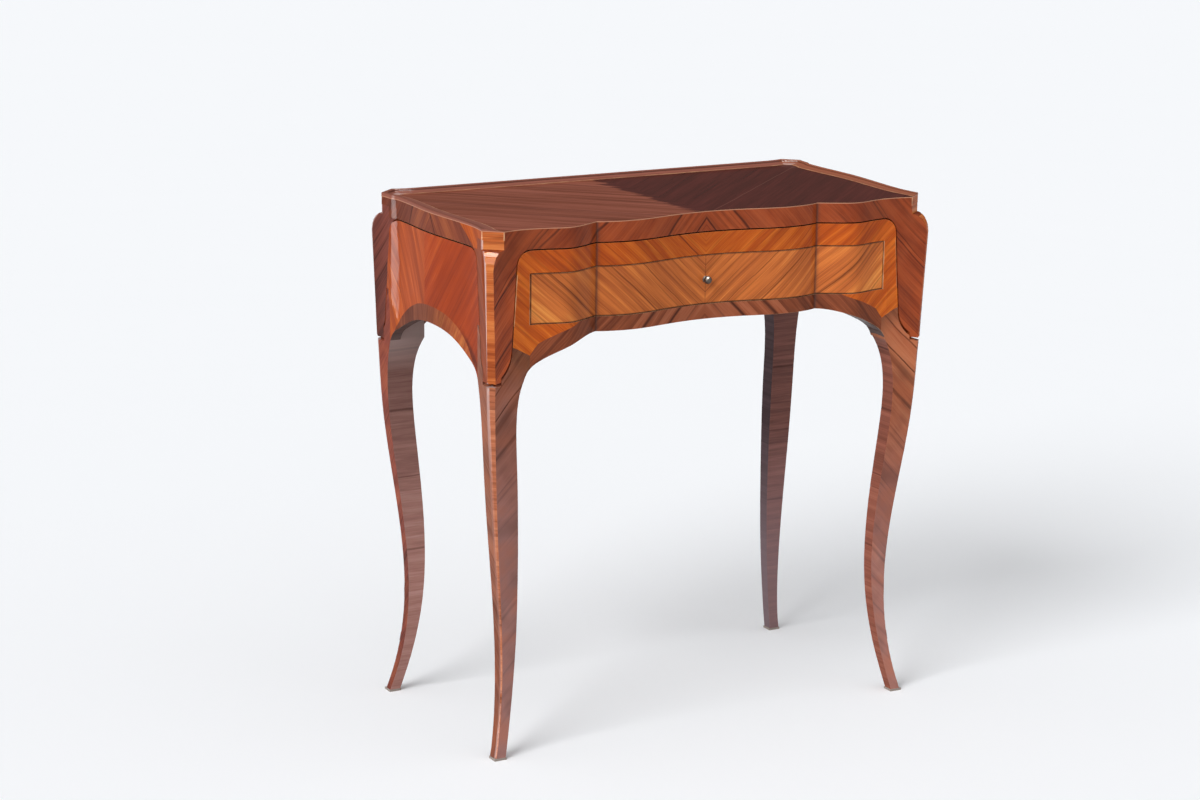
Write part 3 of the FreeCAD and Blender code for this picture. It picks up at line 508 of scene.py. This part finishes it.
def drawer_paint(tree):
    """Pale straight-grained leaves that meet at the middle of the drawer and climb outwards."""
    moved, point = folded(tree)
    colour = figure(tree, point, CLIMBING_GRAIN, DRAWER_TONES, streak=0.35, leaf=300, length=170, breadth=7,
                    seam=0.2)
    colour = veined(tree, colour, point, CLIMBING_GRAIN, DRAWER_VEINS)
    # Painted sheen: the drawer lightens towards the right
    colour = shaded(tree, colour, add(tree, "SeparateXYZ", {0: moved}).outputs["X"], -250, 250, 0.94, 1.12)
    outwards = add(tree, "SeparateXYZ", {0: point}).outputs["X"]
    joint = add(tree, "MapRange", {0: outwards, 1: 0.0, 2: 0.8 * MM, 3: 0.6, 4: 0.0})
    colour = add(tree, "Mix", {0: joint, 6: colour, 7: linear(JOINT_TONE)}, data_type="RGBA")
    return darkened_creases(tree, outlined(tree, colour, point), point)


def side_paint(tree):
    """Two book-matched leaves in a V, with a darker cross-banded edge along the arch."""
    moved, point = folded(tree, (0.0, SIDE_JOINT_Y, 0.0))
    parts = add(tree, "SeparateXYZ", {0: moved})
    back = figure(tree, point, side_grain(62), SIDE_BACK_TONES, streak=0.15, leaf=200, breadth=9)
    back = shaded(tree, back, parts.outputs["Y"], 84, 94, 1.0, 0.82)
    front = figure(tree, point, side_grain(50), SIDE_FRONT_TONES, streak=0.2, leaf=200, breadth=9)
    colour = zone(tree, parts.outputs["Y"], 0.0, front, back)
    dark = veined(tree, colour, moved, side_grain(39), SIDE_VEINS)
    low = add(tree, "MapRange", {0: parts.outputs["Z"], 1: 582 * MM, 2: 560 * MM, 3: 0.0, 4: 1.0})
    colour = add(tree, "Mix", {0: low, 6: colour, 7: dark}, data_type="RGBA")
    band = figure(tree, point, side_grain(80), ARCH_TONES, streak=0.4, leaf=30, length=60, breadth=6)
    later = figure(tree, point, side_grain(60), ARCH_FRONT_TONES, streak=0.4, leaf=30, length=60, breadth=6)
    place = add(tree, "TexCoord", {}).outputs["Object"]
    along = add(tree, "SeparateXYZ", {0: place}).outputs["Y"]
    fade = add(tree, "MapRange", {0: along, 1: 10 * MM, 2: -80 * MM, 3: 0.0, 4: 0.85})
    band = add(tree, "Mix", {0: fade, 6: band, 7: later}, data_type="RGBA")
    centred = add(tree, "SeparateXYZ", {0: add(tree, "VectorMath", {0: place}, operation="ABSOLUTE")})
    over = over_joint(tree, centred, "Y", SIDE_JOINT_SPAN, SIDE_JOINT, bend="AUTO")
    return underneath(tree, zone(tree, over, 0.0, band, colour))


def post_paint(tree):
    """Wings with diagonal grain, darker at the back, and a cross-banded chamfer on the corner."""
    moved, point = folded(tree)
    outward = turned_out(tree, moved)
    parts = add(tree, "SeparateXYZ", {0: moved})
    front = band_face(tree, moved, point)
    # Painted light: the left posts' fronts are lightened below the tray band
    lifted = shaded(tree, front, parts.outputs["Z"], 690, 630, 1.0, 1.45)
    front = zone(tree, parts.outputs["X"], 0.0, lifted, front)
    side = figure(tree, point, SIDE_FALLING_GRAIN, BAND_TONES, streak=0.2, leaf=85)
    along = parts.outputs["Y"]
    side = shaded(tree, side, along, -160, -140, 0.85, 0.75)
    back = figure(tree, point, SIDE_FALLING_GRAIN, BACK_POST_TONES, streak=0.6, leaf=85, uneven=0.25)
    back = shaded(tree, back, along, 165, 140, 0.85, 1.15)
    side = zone(tree, along, 0.0, side, back)
    return corner_zones(tree, point, outward, front, side, front, CORNER_TONES)


def leg_paint(tree):
    """Diagonal grain outside, cross-banded chamfer, greyer cross-banded inner faces, with painted shade
    darkest far right.
    """
    moved, point = folded(tree)
    outward = turned_out(tree, moved)
    parts = add(tree, "SeparateXYZ", {0: moved})
    front = leg_face(tree, parts, point)
    frieze = figure(tree, point, CLIMBING_GRAIN, FRIEZE_TONES, streak=0.25, leaf=74, uneven=0.08)
    front = zone(tree, above_band(tree, point), 0.0, front, frieze)
    side = figure(tree, point, SIDE_FALLING_GRAIN, LEG_SIDE_TONES, streak=0.25, leaf=120)
    back = figure(tree, point, SIDE_FALLING_GRAIN, BACK_LEG_SIDE_TONES, streak=0.4, leaf=120)
    side = clouded(tree, zone(tree, parts.outputs["Y"], 0.0, side, back), point, 0.3)
    inner = figure(tree, point, LEVEL_GRAIN, LEG_INNER_TONES, streak=0.1, leaf=300, length=120, breadth=7)
    inner = veined(tree, inner, point, LEVEL_GRAIN, INNER_VEINS)
    inner = shaded(tree, inner, parts.outputs["Z"], 480, 180, 0.85, 1.55)
    # Painted sheen at the top of the inner faces
    inner = with_sheen(tree, inner, parts.outputs["Z"], 470, 525, 0.7, INNER_SHEEN_TONE)
    near = figure(tree, point, LEVEL_GRAIN, RIGHT_INNER_TONES, streak=0.1, leaf=300, length=120, breadth=7)
    near = veined(tree, near, point, LEVEL_GRAIN, INNER_VEINS)
    near = with_sheen(tree, near, parts.outputs["Z"], 500, 540, 0.5, RIGHT_SHEEN_TONE)
    inner = zone(tree, parts.outputs["X"], 0.0, inner, near)
    # Painted shade on the far right leg's inner faces
    left = figure(tree, point, LEVEL_GRAIN, FAR_LEFT_SHADE_TONES, streak=0.1, leaf=300, length=120, breadth=7)
    ahead = figure(tree, point, LEVEL_GRAIN, FAR_FRONT_SHADE_TONES, streak=0.15, leaf=300, length=120, breadth=5)
    ahead = veined(tree, ahead, point, LEVEL_GRAIN, INNER_VEINS)
    turned = add(tree, "SeparateXYZ", {0: outward})
    lean = add(tree, "Math", {0: turned.outputs["X"], 1: turned.outputs["Y"]}, operation="SUBTRACT")
    far = zone(tree, lean, 0.0, left, ahead)
    far = with_sheen(tree, far, parts.outputs["Z"], 330, 120, 0.55, FAR_SHEEN_TONE)
    corner = add(tree, "Math", {0: parts.outputs["X"], 1: parts.outputs["Y"]}, operation="MINIMUM")
    inner = zone(tree, corner, 0.0, inner, far)
    return corner_zones(tree, point, outward, front, side, inner, LEG_CORNER_TONES)


def tray_paint(tree):
    """Edge band of the tray: veined leaves that fall outwards over the front, mixed pieces on the sides."""
    moved, point = folded(tree)
    front = band_face(tree, moved, point)
    side = figure(tree, point, SIDE_FALLING_GRAIN, TRAY_SIDE_TONES, streak=0.3, leaf=46, uneven=0.2)
    side = veined(tree, side, moved, side_grain(-60), RAIL_FALLING_VEINS)
    side = veined(tree, side, moved, side_grain(60), RAIL_CLIMBING_VEINS)
    place = add(tree, "SeparateXYZ", {0: moved})
    side = shaded(tree, side, place.outputs["Y"], 100, -60, 0.75, 0.88)
    late = figure(tree, point, SIDE_FALLING_GRAIN, FRIEZE_TONES, streak=0.3, leaf=46, uneven=0.2)
    slant = add(tree, "Math", {0: place.outputs["Z"], 1: RAIL_JOINT_SLOPE, 2: place.outputs["Y"]},
                operation="MULTIPLY_ADD")
    side = zone(tree, slant, RAIL_JOINT, late, side)
    parts = add(tree, "SeparateXYZ", {0: turned_out(tree, moved)})
    colour = zone(tree, parts.outputs["X"], FACES_TURN, front, side)
    corner = add(tree, "Math", {0: parts.outputs["X"], 1: parts.outputs["Y"]}, operation="MINIMUM")
    chamfer = figure(tree, point, LEVEL_GRAIN, CORNER_TONES, streak=0.3, leaf=44, length=90, breadth=7)
    return darkened_creases(tree, zone(tree, corner, RAIL_CHAMFER_TURN, colour, chamfer), point)


def top_paint(tree):
    """Two matched leaves in a V towards the front, the right darker past a feathered joint, a painted
    highlight on the edges.
    """
    moved, point = folded(tree, TOP_FOLD)
    left, right = (figure(tree, point, TOP_GRAIN, tones, streak=streak, leaf=400, length=260, breadth=14)
                   for tones, streak in ((TOP_LEFT_TONES, 0.3), (TOP_RIGHT_TONES, 0.15)))
    left = veined(tree, left, point, TOP_GRAIN, TOP_VEINS)
    right = veined(tree, right, point, flat_grain(42), TOP_PALE_VEINS, tone=PALE_VEIN_TONE)
    grain = add(tree, "Mapping", {"Vector": point, "Rotation": TOP_GRAIN, "Scale": (90 * MM, 1.0, 6 * MM)},
                vector_type="TEXTURE")
    feather = add(tree, "TexNoise", {"Vector": grain, "Scale": 1.0, "Detail": 2.0})
    feather = add(tree, "MapRange", {0: feather, 1: 0.3, 2: 0.7, 3: FEATHER[0], 4: FEATHER[1]})
    across = add(tree, "SeparateXYZ", {0: moved}).outputs["X"]
    past = add(tree, "Math", {0: across, 1: feather}, operation="SUBTRACT")
    past = add(tree, "MapRange", {0: past, 1: -2 * MM, 2: 2 * MM, 3: 0.0, 4: 1.0})
    colour = add(tree, "Mix", {0: past, 6: left, 7: right}, data_type="RGBA")
    # Painted highlight on the faces that do not look up
    upright = add(tree, "SeparateXYZ", {0: turned_out(tree, moved)}).outputs["Z"]
    return zone(tree, upright, FACES_TURN, linear(TOP_EDGE_HIGHLIGHT_TONE), colour)


def along_grain(tree, point, tones, streak):
    """Figure of solid wood with its grain along the piece."""
    return figure(tree, point, LEVEL_GRAIN, tones, streak=streak, leaf=300, length=240, breadth=5, seam=0.0)


def rim_paint(tree):
    """Moulding with its grain along the piece, more orange on the right side."""
    moved, point = folded(tree)
    across = add(tree, "SeparateXYZ", {0: moved}).outputs["X"]
    pair = [along_grain(tree, point, tones, 0.3) for tones in (RIM_TONES, RIGHT_RIM_TONES)]
    return zone(tree, across, RIGHT_RIM_X, *pair)


def pine_paint(tree):
    """Planed pine under the veneer."""
    return along_grain(tree, folded(tree)[1], PINE_TONES, 0.2)


def walnut_paint(tree):
    """Planed walnut of the drawer's lining."""
    return along_grain(tree, folded(tree)[1], WALNUT_TONES, 0.2)


def plain(name, tone, rough, metallic=0.0):
    """One even material: a metal, or a matt pad."""
    material = bpy.data.materials.new(name)
    material.use_nodes = True
    tree = material.node_tree
    tree.nodes.clear()
    place = add(tree, "TexCoord", {}).outputs["Object"]
    cloud = add(tree, "TexNoise", {"Vector": place, "Scale": 1 / METAL_PATCH, "Detail": 3.0})
    dull = add(tree, "MapRange", {0: cloud, 1: 0.3, 2: 0.7, 3: rough * 0.8, 4: rough * 1.2})
    shader = add(tree, "BsdfPrincipled", {"Base Color": linear(tone), "Roughness": dull,
                                          "Metallic": metallic})
    add(tree, "OutputMaterial", {"Surface": shader})
    return material


# To the eye the polished veneers are warm and deep, with soft highlights and pale edges, rubbed and with a
# painted highlight. The planed linings are dull and bare, the pads matt and grey, and the knob is a dark ball
# with one bright spot.
FINISHES = {
    "leg_veneer": polished("french_polished_leg_veneer", leg_paint),
    "foot_pad": plain("worn_beech_foot_pad", PAD_TONE, 0.8),
    "case_veneer": polished("french_polished_frieze_veneer", case_paint, rub_and_highlight=0.9),
    "side_veneer": polished("french_polished_side_veneer", side_paint),
    "ground_wood": polished("planed_pine_ground", pine_paint, rough=0.6, coat=0.0),
    "drawer_veneer": polished("french_polished_drawer_veneer", drawer_paint, rub_and_highlight=0.8),
    "drawer_wood": polished("planed_walnut_drawer_lining", walnut_paint, rough=0.55, coat=0.0),
    "knob_metal": plain("worn_steel_knob", STEEL_TONE, 0.42, 1.0),
    "post_veneer": polished("french_polished_post_veneer", post_paint),
    "tray_veneer": polished("french_polished_band_veneer", tray_paint, rub_and_highlight=0.9),
    "top_veneer": polished("french_polished_top_veneer", top_paint, rough=0.36, rub_and_highlight=1.0),
    "rim_wood": polished("french_polished_rim_moulding", rim_paint),
}


def tree_of(nodes):
    """Search tree over several CAD nodes."""
    spots, faces = [], []
    for node in nodes:
        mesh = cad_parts[node].data
        faces += [tuple(i + len(spots) for i in polygon.vertices) for polygon in mesh.polygons]
        spots += [vert.co.copy() for vert in mesh.vertices]
    return BVHTree.FromPolygons(spots, faces)


def placed(name, mesh, slot, body, nodes):
    """A new piece in the scene, tied to its body, its material slot and the CAD nodes that it stands for."""
    piece = bpy.data.objects.new(name, mesh)
    bpy.context.scene.collection.objects.link(piece)
    mesh.materials.append(FINISHES[slot])
    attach(piece, body)
    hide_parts(*nodes)
    return piece


def free_arrises(work, near):
    """Sharp edges of a mesh that lie neither on a neighbour nor in a crease of the front."""
    sharp = [e for e in work.edges if len(e.link_faces) == 2 and e.calc_face_angle() > ARRIS_ANGLE]
    middles = [(e, (e.verts[0].co + e.verts[1].co) / 2) for e in sharp]
    return [e for e, middle in middles
            if abs(abs(middle.x) - CREASE_X) > 1 * MM and near.find_nearest(middle, TOUCH)[0] is None]


def on_corner(edge):
    """Whether an edge is the arris between a corner's side face and its chamfer."""
    spot = edge.verts[0].co
    right, back = math.copysign(1, spot.x), math.copysign(1, spot.y)
    turned = [(face.normal.x * right, face.normal.y * back) for face in edge.link_faces]
    side, chamfer = sorted(turned, key=min)
    return side[0] > FACES_TURN and min(chamfer) > CHAMFER_TURN


def flared(spots):
    """The sides turn out before the back corners: x moves by k (clip(y - a, 0, b - a) - (b - a) / 2) f d.

    k is the slope, the strip's ends a(z) and b(z) waver a little, f fades the move out before and after the
    strip, and d keeps it to the outer skin.
    """
    x, y, z = spots.T
    waver = sum(reach * np.sin(z / length + phase) for reach, length, phase in FLARE_WAVES)
    start = np.interp(z, *FLARE_STARTS) + waver
    end = np.interp(z, *FLARE_ENDS) + waver
    rise = FLARE_SLOPE * (np.clip(y - start, 0.0, end - start) - (end - start) / 2)
    fade = np.clip(1 + (y - start) / FLARE_BEFORE, 0.0, 1.0) * np.clip(1 + (end - y) / FLARE_AFTER, 0.0, 1.0)
    depth = np.clip((np.abs(x) - FLARE_INSIDE) / FLARE_SKIN, 0.0, 1.0)
    moved = spots.copy()
    moved[:, 0] += np.sign(x) * rise * fade * fade * (3 - 2 * fade) * depth
    return moved


def softened(node, slot, body, round_off, corner_round, mates):
    """Copy of a CAD node whose free arrises are rounded off; edges that lie on a mate stay as they are."""
    work = bmesh.new()
    work.from_mesh(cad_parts[node].data)
    bmesh.ops.remove_doubles(work, verts=work.verts, dist=MERGE)
    bmesh.ops.dissolve_limit(work, angle_limit=FLAT_ANGLE, verts=work.verts, edges=work.edges)
    edge_marks = work.faces.layers.float.new("arris")
    sheened = work.faces.layers.float.new("corner")
    near = tree_of([mate for mate in mates if mate != node])
    for chosen, radius, segments, layer in ((on_corner, corner_round, CORNER_SEGMENTS, sheened),
                                            (None, round_off, ARRIS_SEGMENTS, edge_marks)):
        arrises = [edge for edge in free_arrises(work, near) if chosen is None or chosen(edge)]
        if radius and arrises:
            made = bmesh.ops.bevel(work, geom=arrises, offset=radius * MM, offset_type="OFFSET",
                                   segments=segments, profile=0.5, affect="EDGES",
                                   clamp_overlap=chosen is None)
            for face in made["faces"]:
                # Painted shade: that post's roundings on the gap side are marked below zero
                face[layer] = -1.0 if node == GAP_SHADED_POST and face.normal.x < -0.2 else 1.0
    if node in FLARED:
        for way, places in (((0, 1, 0), FLARE_CUTS_Y), ((0, 0, 1), FLARE_CUTS_Z)):
            for place in places:
                bmesh.ops.bisect_plane(work, geom=work.verts[:] + work.edges[:] + work.faces[:], dist=MERGE,
                                       plane_co=Vector(way) * place, plane_no=way)
    mesh = bpy.data.meshes.new(node + "_softened")
    work.to_mesh(mesh)
    work.free()
    if node in FLARED:
        spots = np.empty((len(mesh.vertices), 3))
        mesh.vertices.foreach_get("co", spots.ravel())
        mesh.vertices.foreach_set("co", flared(spots).ravel())
        mesh.update()
    stale = mesh.attributes.get("custom_normal")
    if stale:
        mesh.attributes.remove(stale)
    mesh.polygons.foreach_set("use_smooth", [True] * len(mesh.polygons))
    mesh.set_sharp_from_angle(angle=SMOOTH_ANGLE)
    piece = placed(node + "_softened", mesh, slot, body, [node])
    even = piece.modifiers.new("even_normals", "WEIGHTED_NORMAL")
    even.keep_sharp = True


def evened(line, count):
    """The same polyline with that many points at even steps along it."""
    steps = np.concatenate(([0.0], np.cumsum(np.linalg.norm(np.diff(line, axis=0), axis=1))))
    marks = np.linspace(0.0, steps[-1], count)
    return np.stack([np.interp(marks, steps, line[:, axis]) for axis in range(2)], axis=1)


def footprint(node):
    """Outer and inner edge of a rim piece seen from above, as two polylines that run the same way."""
    work = bmesh.new()
    work.from_mesh(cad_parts[node].data)
    bmesh.ops.remove_doubles(work, verts=work.verts, dist=MERGE)
    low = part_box(node)[0].z + MERGE
    raised = [face for face in work.faces if max(vert.co.z for vert in face.verts) > low]
    bmesh.ops.delete(work, geom=raised, context="FACES")
    foot = bmesh.ops.dissolve_faces(work, faces=work.faces[:], use_verts=False)["region"][0]
    loop = np.array([vert.co.xy for vert in foot.verts])
    work.free()
    ahead = np.roll(loop, -1, axis=0) - loop
    behind = np.roll(ahead, 1, axis=0)
    turn = np.arctan2(behind[:, 0] * ahead[:, 1] - behind[:, 1] * ahead[:, 0], (behind * ahead).sum(axis=1))
    corners = np.sort(np.argsort(np.abs(turn))[-4:])
    ends = np.append(corners[1:], corners[0] + len(loop))
    chains = [loop[np.arange(start, end + 1) % len(loop)] for start, end in zip(corners, ends)]
    longest = int(np.argmax([np.linalg.norm(np.diff(chain, axis=0), axis=1).sum() for chain in chains]))
    pair = (chains[longest], chains[longest - 2][::-1])
    inner, outer = sorted(pair, key=lambda chain: np.hypot(*chain.mean(axis=0)))
    return outer, inner


def moulded(node):
    """Rim piece as a bead over a cove, from its outer edge O(s), inner edge I(s) and profile (a, b).

    The place is O + a (I - O) and the height is foot + b H(y), where H falls towards the front corners.
    """
    outer, inner = (evened(edge, RIM_STEPS) for edge in footprint(node))
    low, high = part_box("back_rim")
    share, rise = RIM_PROFILE.T
    plan = outer[:, None, :] + share[None, :, None] * (inner - outer)[:, None, :]
    fall = np.clip((RIM_BACK_Y - plan[:, :, 1]) / RIM_RUN, 0.0, 1.0) * RIM_FALL
    height = low.z + rise[None, :] * (high.z - low.z - fall)
    spots = flared(np.concatenate([plan, height[:, :, None]], axis=2).reshape(-1, 3))
    rows, size = len(outer), len(RIM_PROFILE)
    at = np.arange(rows * size).reshape(rows, size)
    right = np.roll(at, -1, axis=1)
    quads = np.stack([at[:-1], at[1:], right[1:], right[:-1]], axis=2).reshape(-1, 4)
    faces = quads.tolist() + [at[0].tolist(), at[-1][::-1].tolist()]
    mesh = bpy.data.meshes.new(node + "_moulded")
    mesh.from_pydata(spots, [], faces)
    work = bmesh.new()
    work.from_mesh(mesh)
    bmesh.ops.recalc_face_normals(work, faces=work.faces)
    work.to_mesh(mesh)
    work.free()
    # The inner edge is rubbed and carries a painted highlight, the quirk has painted shade, the bead's outer
    # side is a little darker, and the corner returns carry a painted reflection
    edge_marks = (share > 0.9) * 0.8 - (np.abs(share - QUIRK) < 0.03) * 0.55 - (share < 0.1) * (rise > 0.6) * 0.3
    sheened = (share > 0.5) * (1.0 if node.endswith("_corner") else 0.0)
    for label, marks in (("arris", edge_marks), ("corner", sheened)):
        values = np.zeros(len(faces), dtype=np.float32)
        values[:len(quads)] = np.tile(marks, rows - 1)
        mesh.attributes.new(label, "FLOAT", "FACE").data.foreach_set("value", values)
    mesh.polygons.foreach_set("use_smooth", [True] * len(faces))
    mesh.set_sharp_from_angle(angle=RIM_SMOOTH_ANGLE)
    placed(node + "_moulded", mesh, "rim_wood", "bed_tray", [node])


STAND_LEGS = ("front_right_leg", "front_left_leg", "back_right_leg", "back_left_leg")
STAND_CASE = ("front_upper_rail", "front_right_stile", "front_left_stile", "front_apron", "back_panel")
STAND_SIDES = ("right_side_panel", "left_side_panel")
TRAY_POSTS = ("tray_front_right_post", "tray_front_left_post", "tray_back_right_post", "tray_back_left_post")
TRAY_BANDS = ("tray_front_rail", "tray_back_rail", "tray_right_rail", "tray_left_rail", "tray_board")
TRAY_TOPS = ("top_right_veneer", "top_left_veneer")
FLARED = STAND_SIDES + TRAY_TOPS + ("tray_right_rail", "tray_left_rail", "tray_board")
# Painted shade darkens this post's inner edge
GAP_SHADED_POST = "tray_front_right_post"    # stands off the case a little, so its inner edge is dark

stand_mates = STAND_LEGS + STAND_CASE + STAND_SIDES
tray_mates = TRAY_POSTS + TRAY_BANDS + TRAY_TOPS + RIM_NODES
for names, slot, body, round_off, corner_round, mates in (
        (STAND_LEGS, "leg_veneer", "stand", 0.9, 2.8, stand_mates),
        (STAND_CASE, "case_veneer", "stand", 1.2, 0.0, stand_mates),
        (STAND_SIDES, "side_veneer", "stand", 1.0, 0.0, stand_mates),
        (("drawer_front",), "drawer_veneer", "drawer", 0.7, 0.0, ("drawer_front", "drawer_knob")),
        (TRAY_POSTS, "post_veneer", "bed_tray", 0.8, 2.2, tray_mates),
        (TRAY_BANDS, "tray_veneer", "bed_tray", 1.0, 0.0, tray_mates),
        (TRAY_TOPS, "top_veneer", "bed_tray", 1.1, 0.0, tray_mates)):
    for name in names:
        softened(name, slot, body, round_off, corner_round, mates)
for name in RIM_NODES:
    moulded(name)

# Pieces that keep their CAD shape take the finish that their slot names
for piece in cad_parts.values():
    for entry in piece.material_slots:
        stem = entry.material.name.split(".")[0]
        entry.material = FINISHES.get(stem, entry.material)


FLOOR_REACH = 60.0
SKY_DARK_WAY = (0.479, 0.847, 0.23)          # the surround is darker behind the table, towards this
SKY_EDGE, SKY_LEVELS = (0.1, 0.75), (0.79, 0.16)   # cosines to that way, and the light at each
SUN_FROM, SUN_POWER, SUN_SPREAD = (-0.80, -0.34, 0.60), 2.35, math.radians(32)
POLISH_PANELS = (                            # name, place, way that its back looks, width, height, watts
    ("side_panel_in_the_polish", (-1.93, 0.165, 0.45), (-0.99, 0.139, 0.0), 1.27, 0.9, 60.0),
    ("roof_panel_in_the_polish", (-0.3, -0.4, 3.0), (0.0, 0.0, 1.0), 1.8, 1.8, 400.0))
CAMERA_TURN, CAMERA_HEIGHT, CAMERA_ROLL = math.radians(-29.49), math.radians(13.32), math.radians(0.77)
CAMERA_AIM, CAMERA_DISTANCE = (-0.07823, 0.0, 0.43464), 4.3013
CAMERA_LENS, CAMERA_FILM = 92.796, 36.0      # mm
CAMERA_FAR = 500.0


def lit(name, light, way, place=(0.0, 0.0, 0.0)):
    """A lamp in the scene whose back looks along a way."""
    lamp = bpy.data.objects.new(name, light)
    lamp.location = place
    lamp.rotation_euler = Vector(way).to_track_quat("Z", "Y").to_euler()
    bpy.context.scene.collection.objects.link(lamp)
    return lamp


def pale_floor():
    """Pale seamless floor: it looks pale to the eye and to the polish, and gives back less light."""
    far = FLOOR_REACH
    mesh = bpy.data.meshes.new("studio_floor")
    mesh.from_pydata([(-far, -far, 0), (far, -far, 0), (far, far, 0), (-far, far, 0)], [], [(0, 1, 2, 3)])
    floor = bpy.data.objects.new("studio_floor", mesh)
    bpy.context.scene.collection.objects.link(floor)
    material = bpy.data.materials.new("pale_studio_floor")
    material.use_nodes = True
    tree = material.node_tree
    tree.nodes.clear()
    ray = add(tree, "LightPath", {}).outputs
    seen = add(tree, "Math", {0: ray["Is Camera Ray"], 1: ray["Is Glossy Ray"]}, operation="MAXIMUM")
    seen = add(tree, "Math", {0: seen, 1: ray["Is Transmission Ray"]}, operation="MAXIMUM")
    colour = add(tree, "Mix", {0: seen, 6: linear(FLOOR_LIT_TONE), 7: linear(FLOOR_SEEN_TONE)},
                 data_type="RGBA")
    shader = add(tree, "BsdfDiffuse", {"Color": colour})
    add(tree, "OutputMaterial", {"Surface": shader})
    mesh.materials.append(material)


def surround():
    """Even white light from all round, dimmer behind the table."""
    world = bpy.data.worlds.new("studio_surround")
    bpy.context.scene.world = world
    world.use_nodes = True
    tree = world.node_tree
    tree.nodes.clear()
    way = add(tree, "TexCoord", {}).outputs["Generated"]
    facing = add(tree, "VectorMath", {0: way, 1: SKY_DARK_WAY}, operation="DOT_PRODUCT")
    level = add(tree, "MapRange", {0: facing.outputs["Value"], 1: SKY_EDGE[0], 2: SKY_EDGE[1],
                                   3: SKY_LEVELS[0], 4: SKY_LEVELS[1]})
    sky = add(tree, "Background", {"Color": linear("ffffff"), "Strength": level})
    add(tree, "OutputWorld", {"Surface": sky})


def lamps():
    """A soft low sun from the left, and two panels that only the polish mirrors."""
    key = bpy.data.lights.new("key_window", "SUN")
    key.energy = SUN_POWER
    key.angle = SUN_SPREAD
    lit("key_window", key, SUN_FROM)
    for name, place, way, width, height, power in POLISH_PANELS:
        panel = bpy.data.lights.new(name, "AREA")
        panel.shape = "RECTANGLE"
        panel.size = width
        panel.size_y = height
        panel.energy = power
        lamp = lit(name, panel, way, place)
        lamp.visible_diffuse = False
        lamp.visible_camera = False


def camera():
    """The camera fitted to the table's edges: place by turn, height angle and distance, with a small roll."""
    turn, height, roll = CAMERA_TURN, CAMERA_HEIGHT, CAMERA_ROLL
    back = Vector((math.sin(turn) * math.cos(height), -math.cos(turn) * math.cos(height), math.sin(height)))
    right = (-back).cross(Vector((0, 0, 1))).normalized()
    up = right.cross(-back)
    right, up = right * math.cos(roll) + up * math.sin(roll), up * math.cos(roll) - right * math.sin(roll)
    lens = bpy.data.cameras.new("camera")
    lens.lens = CAMERA_LENS
    lens.sensor_width = CAMERA_FILM
    lens.sensor_fit = "HORIZONTAL"
    lens.clip_end = CAMERA_FAR
    eye = bpy.data.objects.new("camera", lens)
    eye.matrix_world = Matrix.Translation(Vector(CAMERA_AIM) + back * CAMERA_DISTANCE) @ Matrix((
        (right.x, up.x, back.x, 0), (right.y, up.y, back.y, 0), (right.z, up.z, back.z, 0), (0, 0, 0, 1)))
    bpy.context.scene.collection.objects.link(eye)
    bpy.context.scene.camera = eye


pale_floor()
surround()
lamps()
camera()
bpy.context.scene.view_settings.view_transform = "Standard"
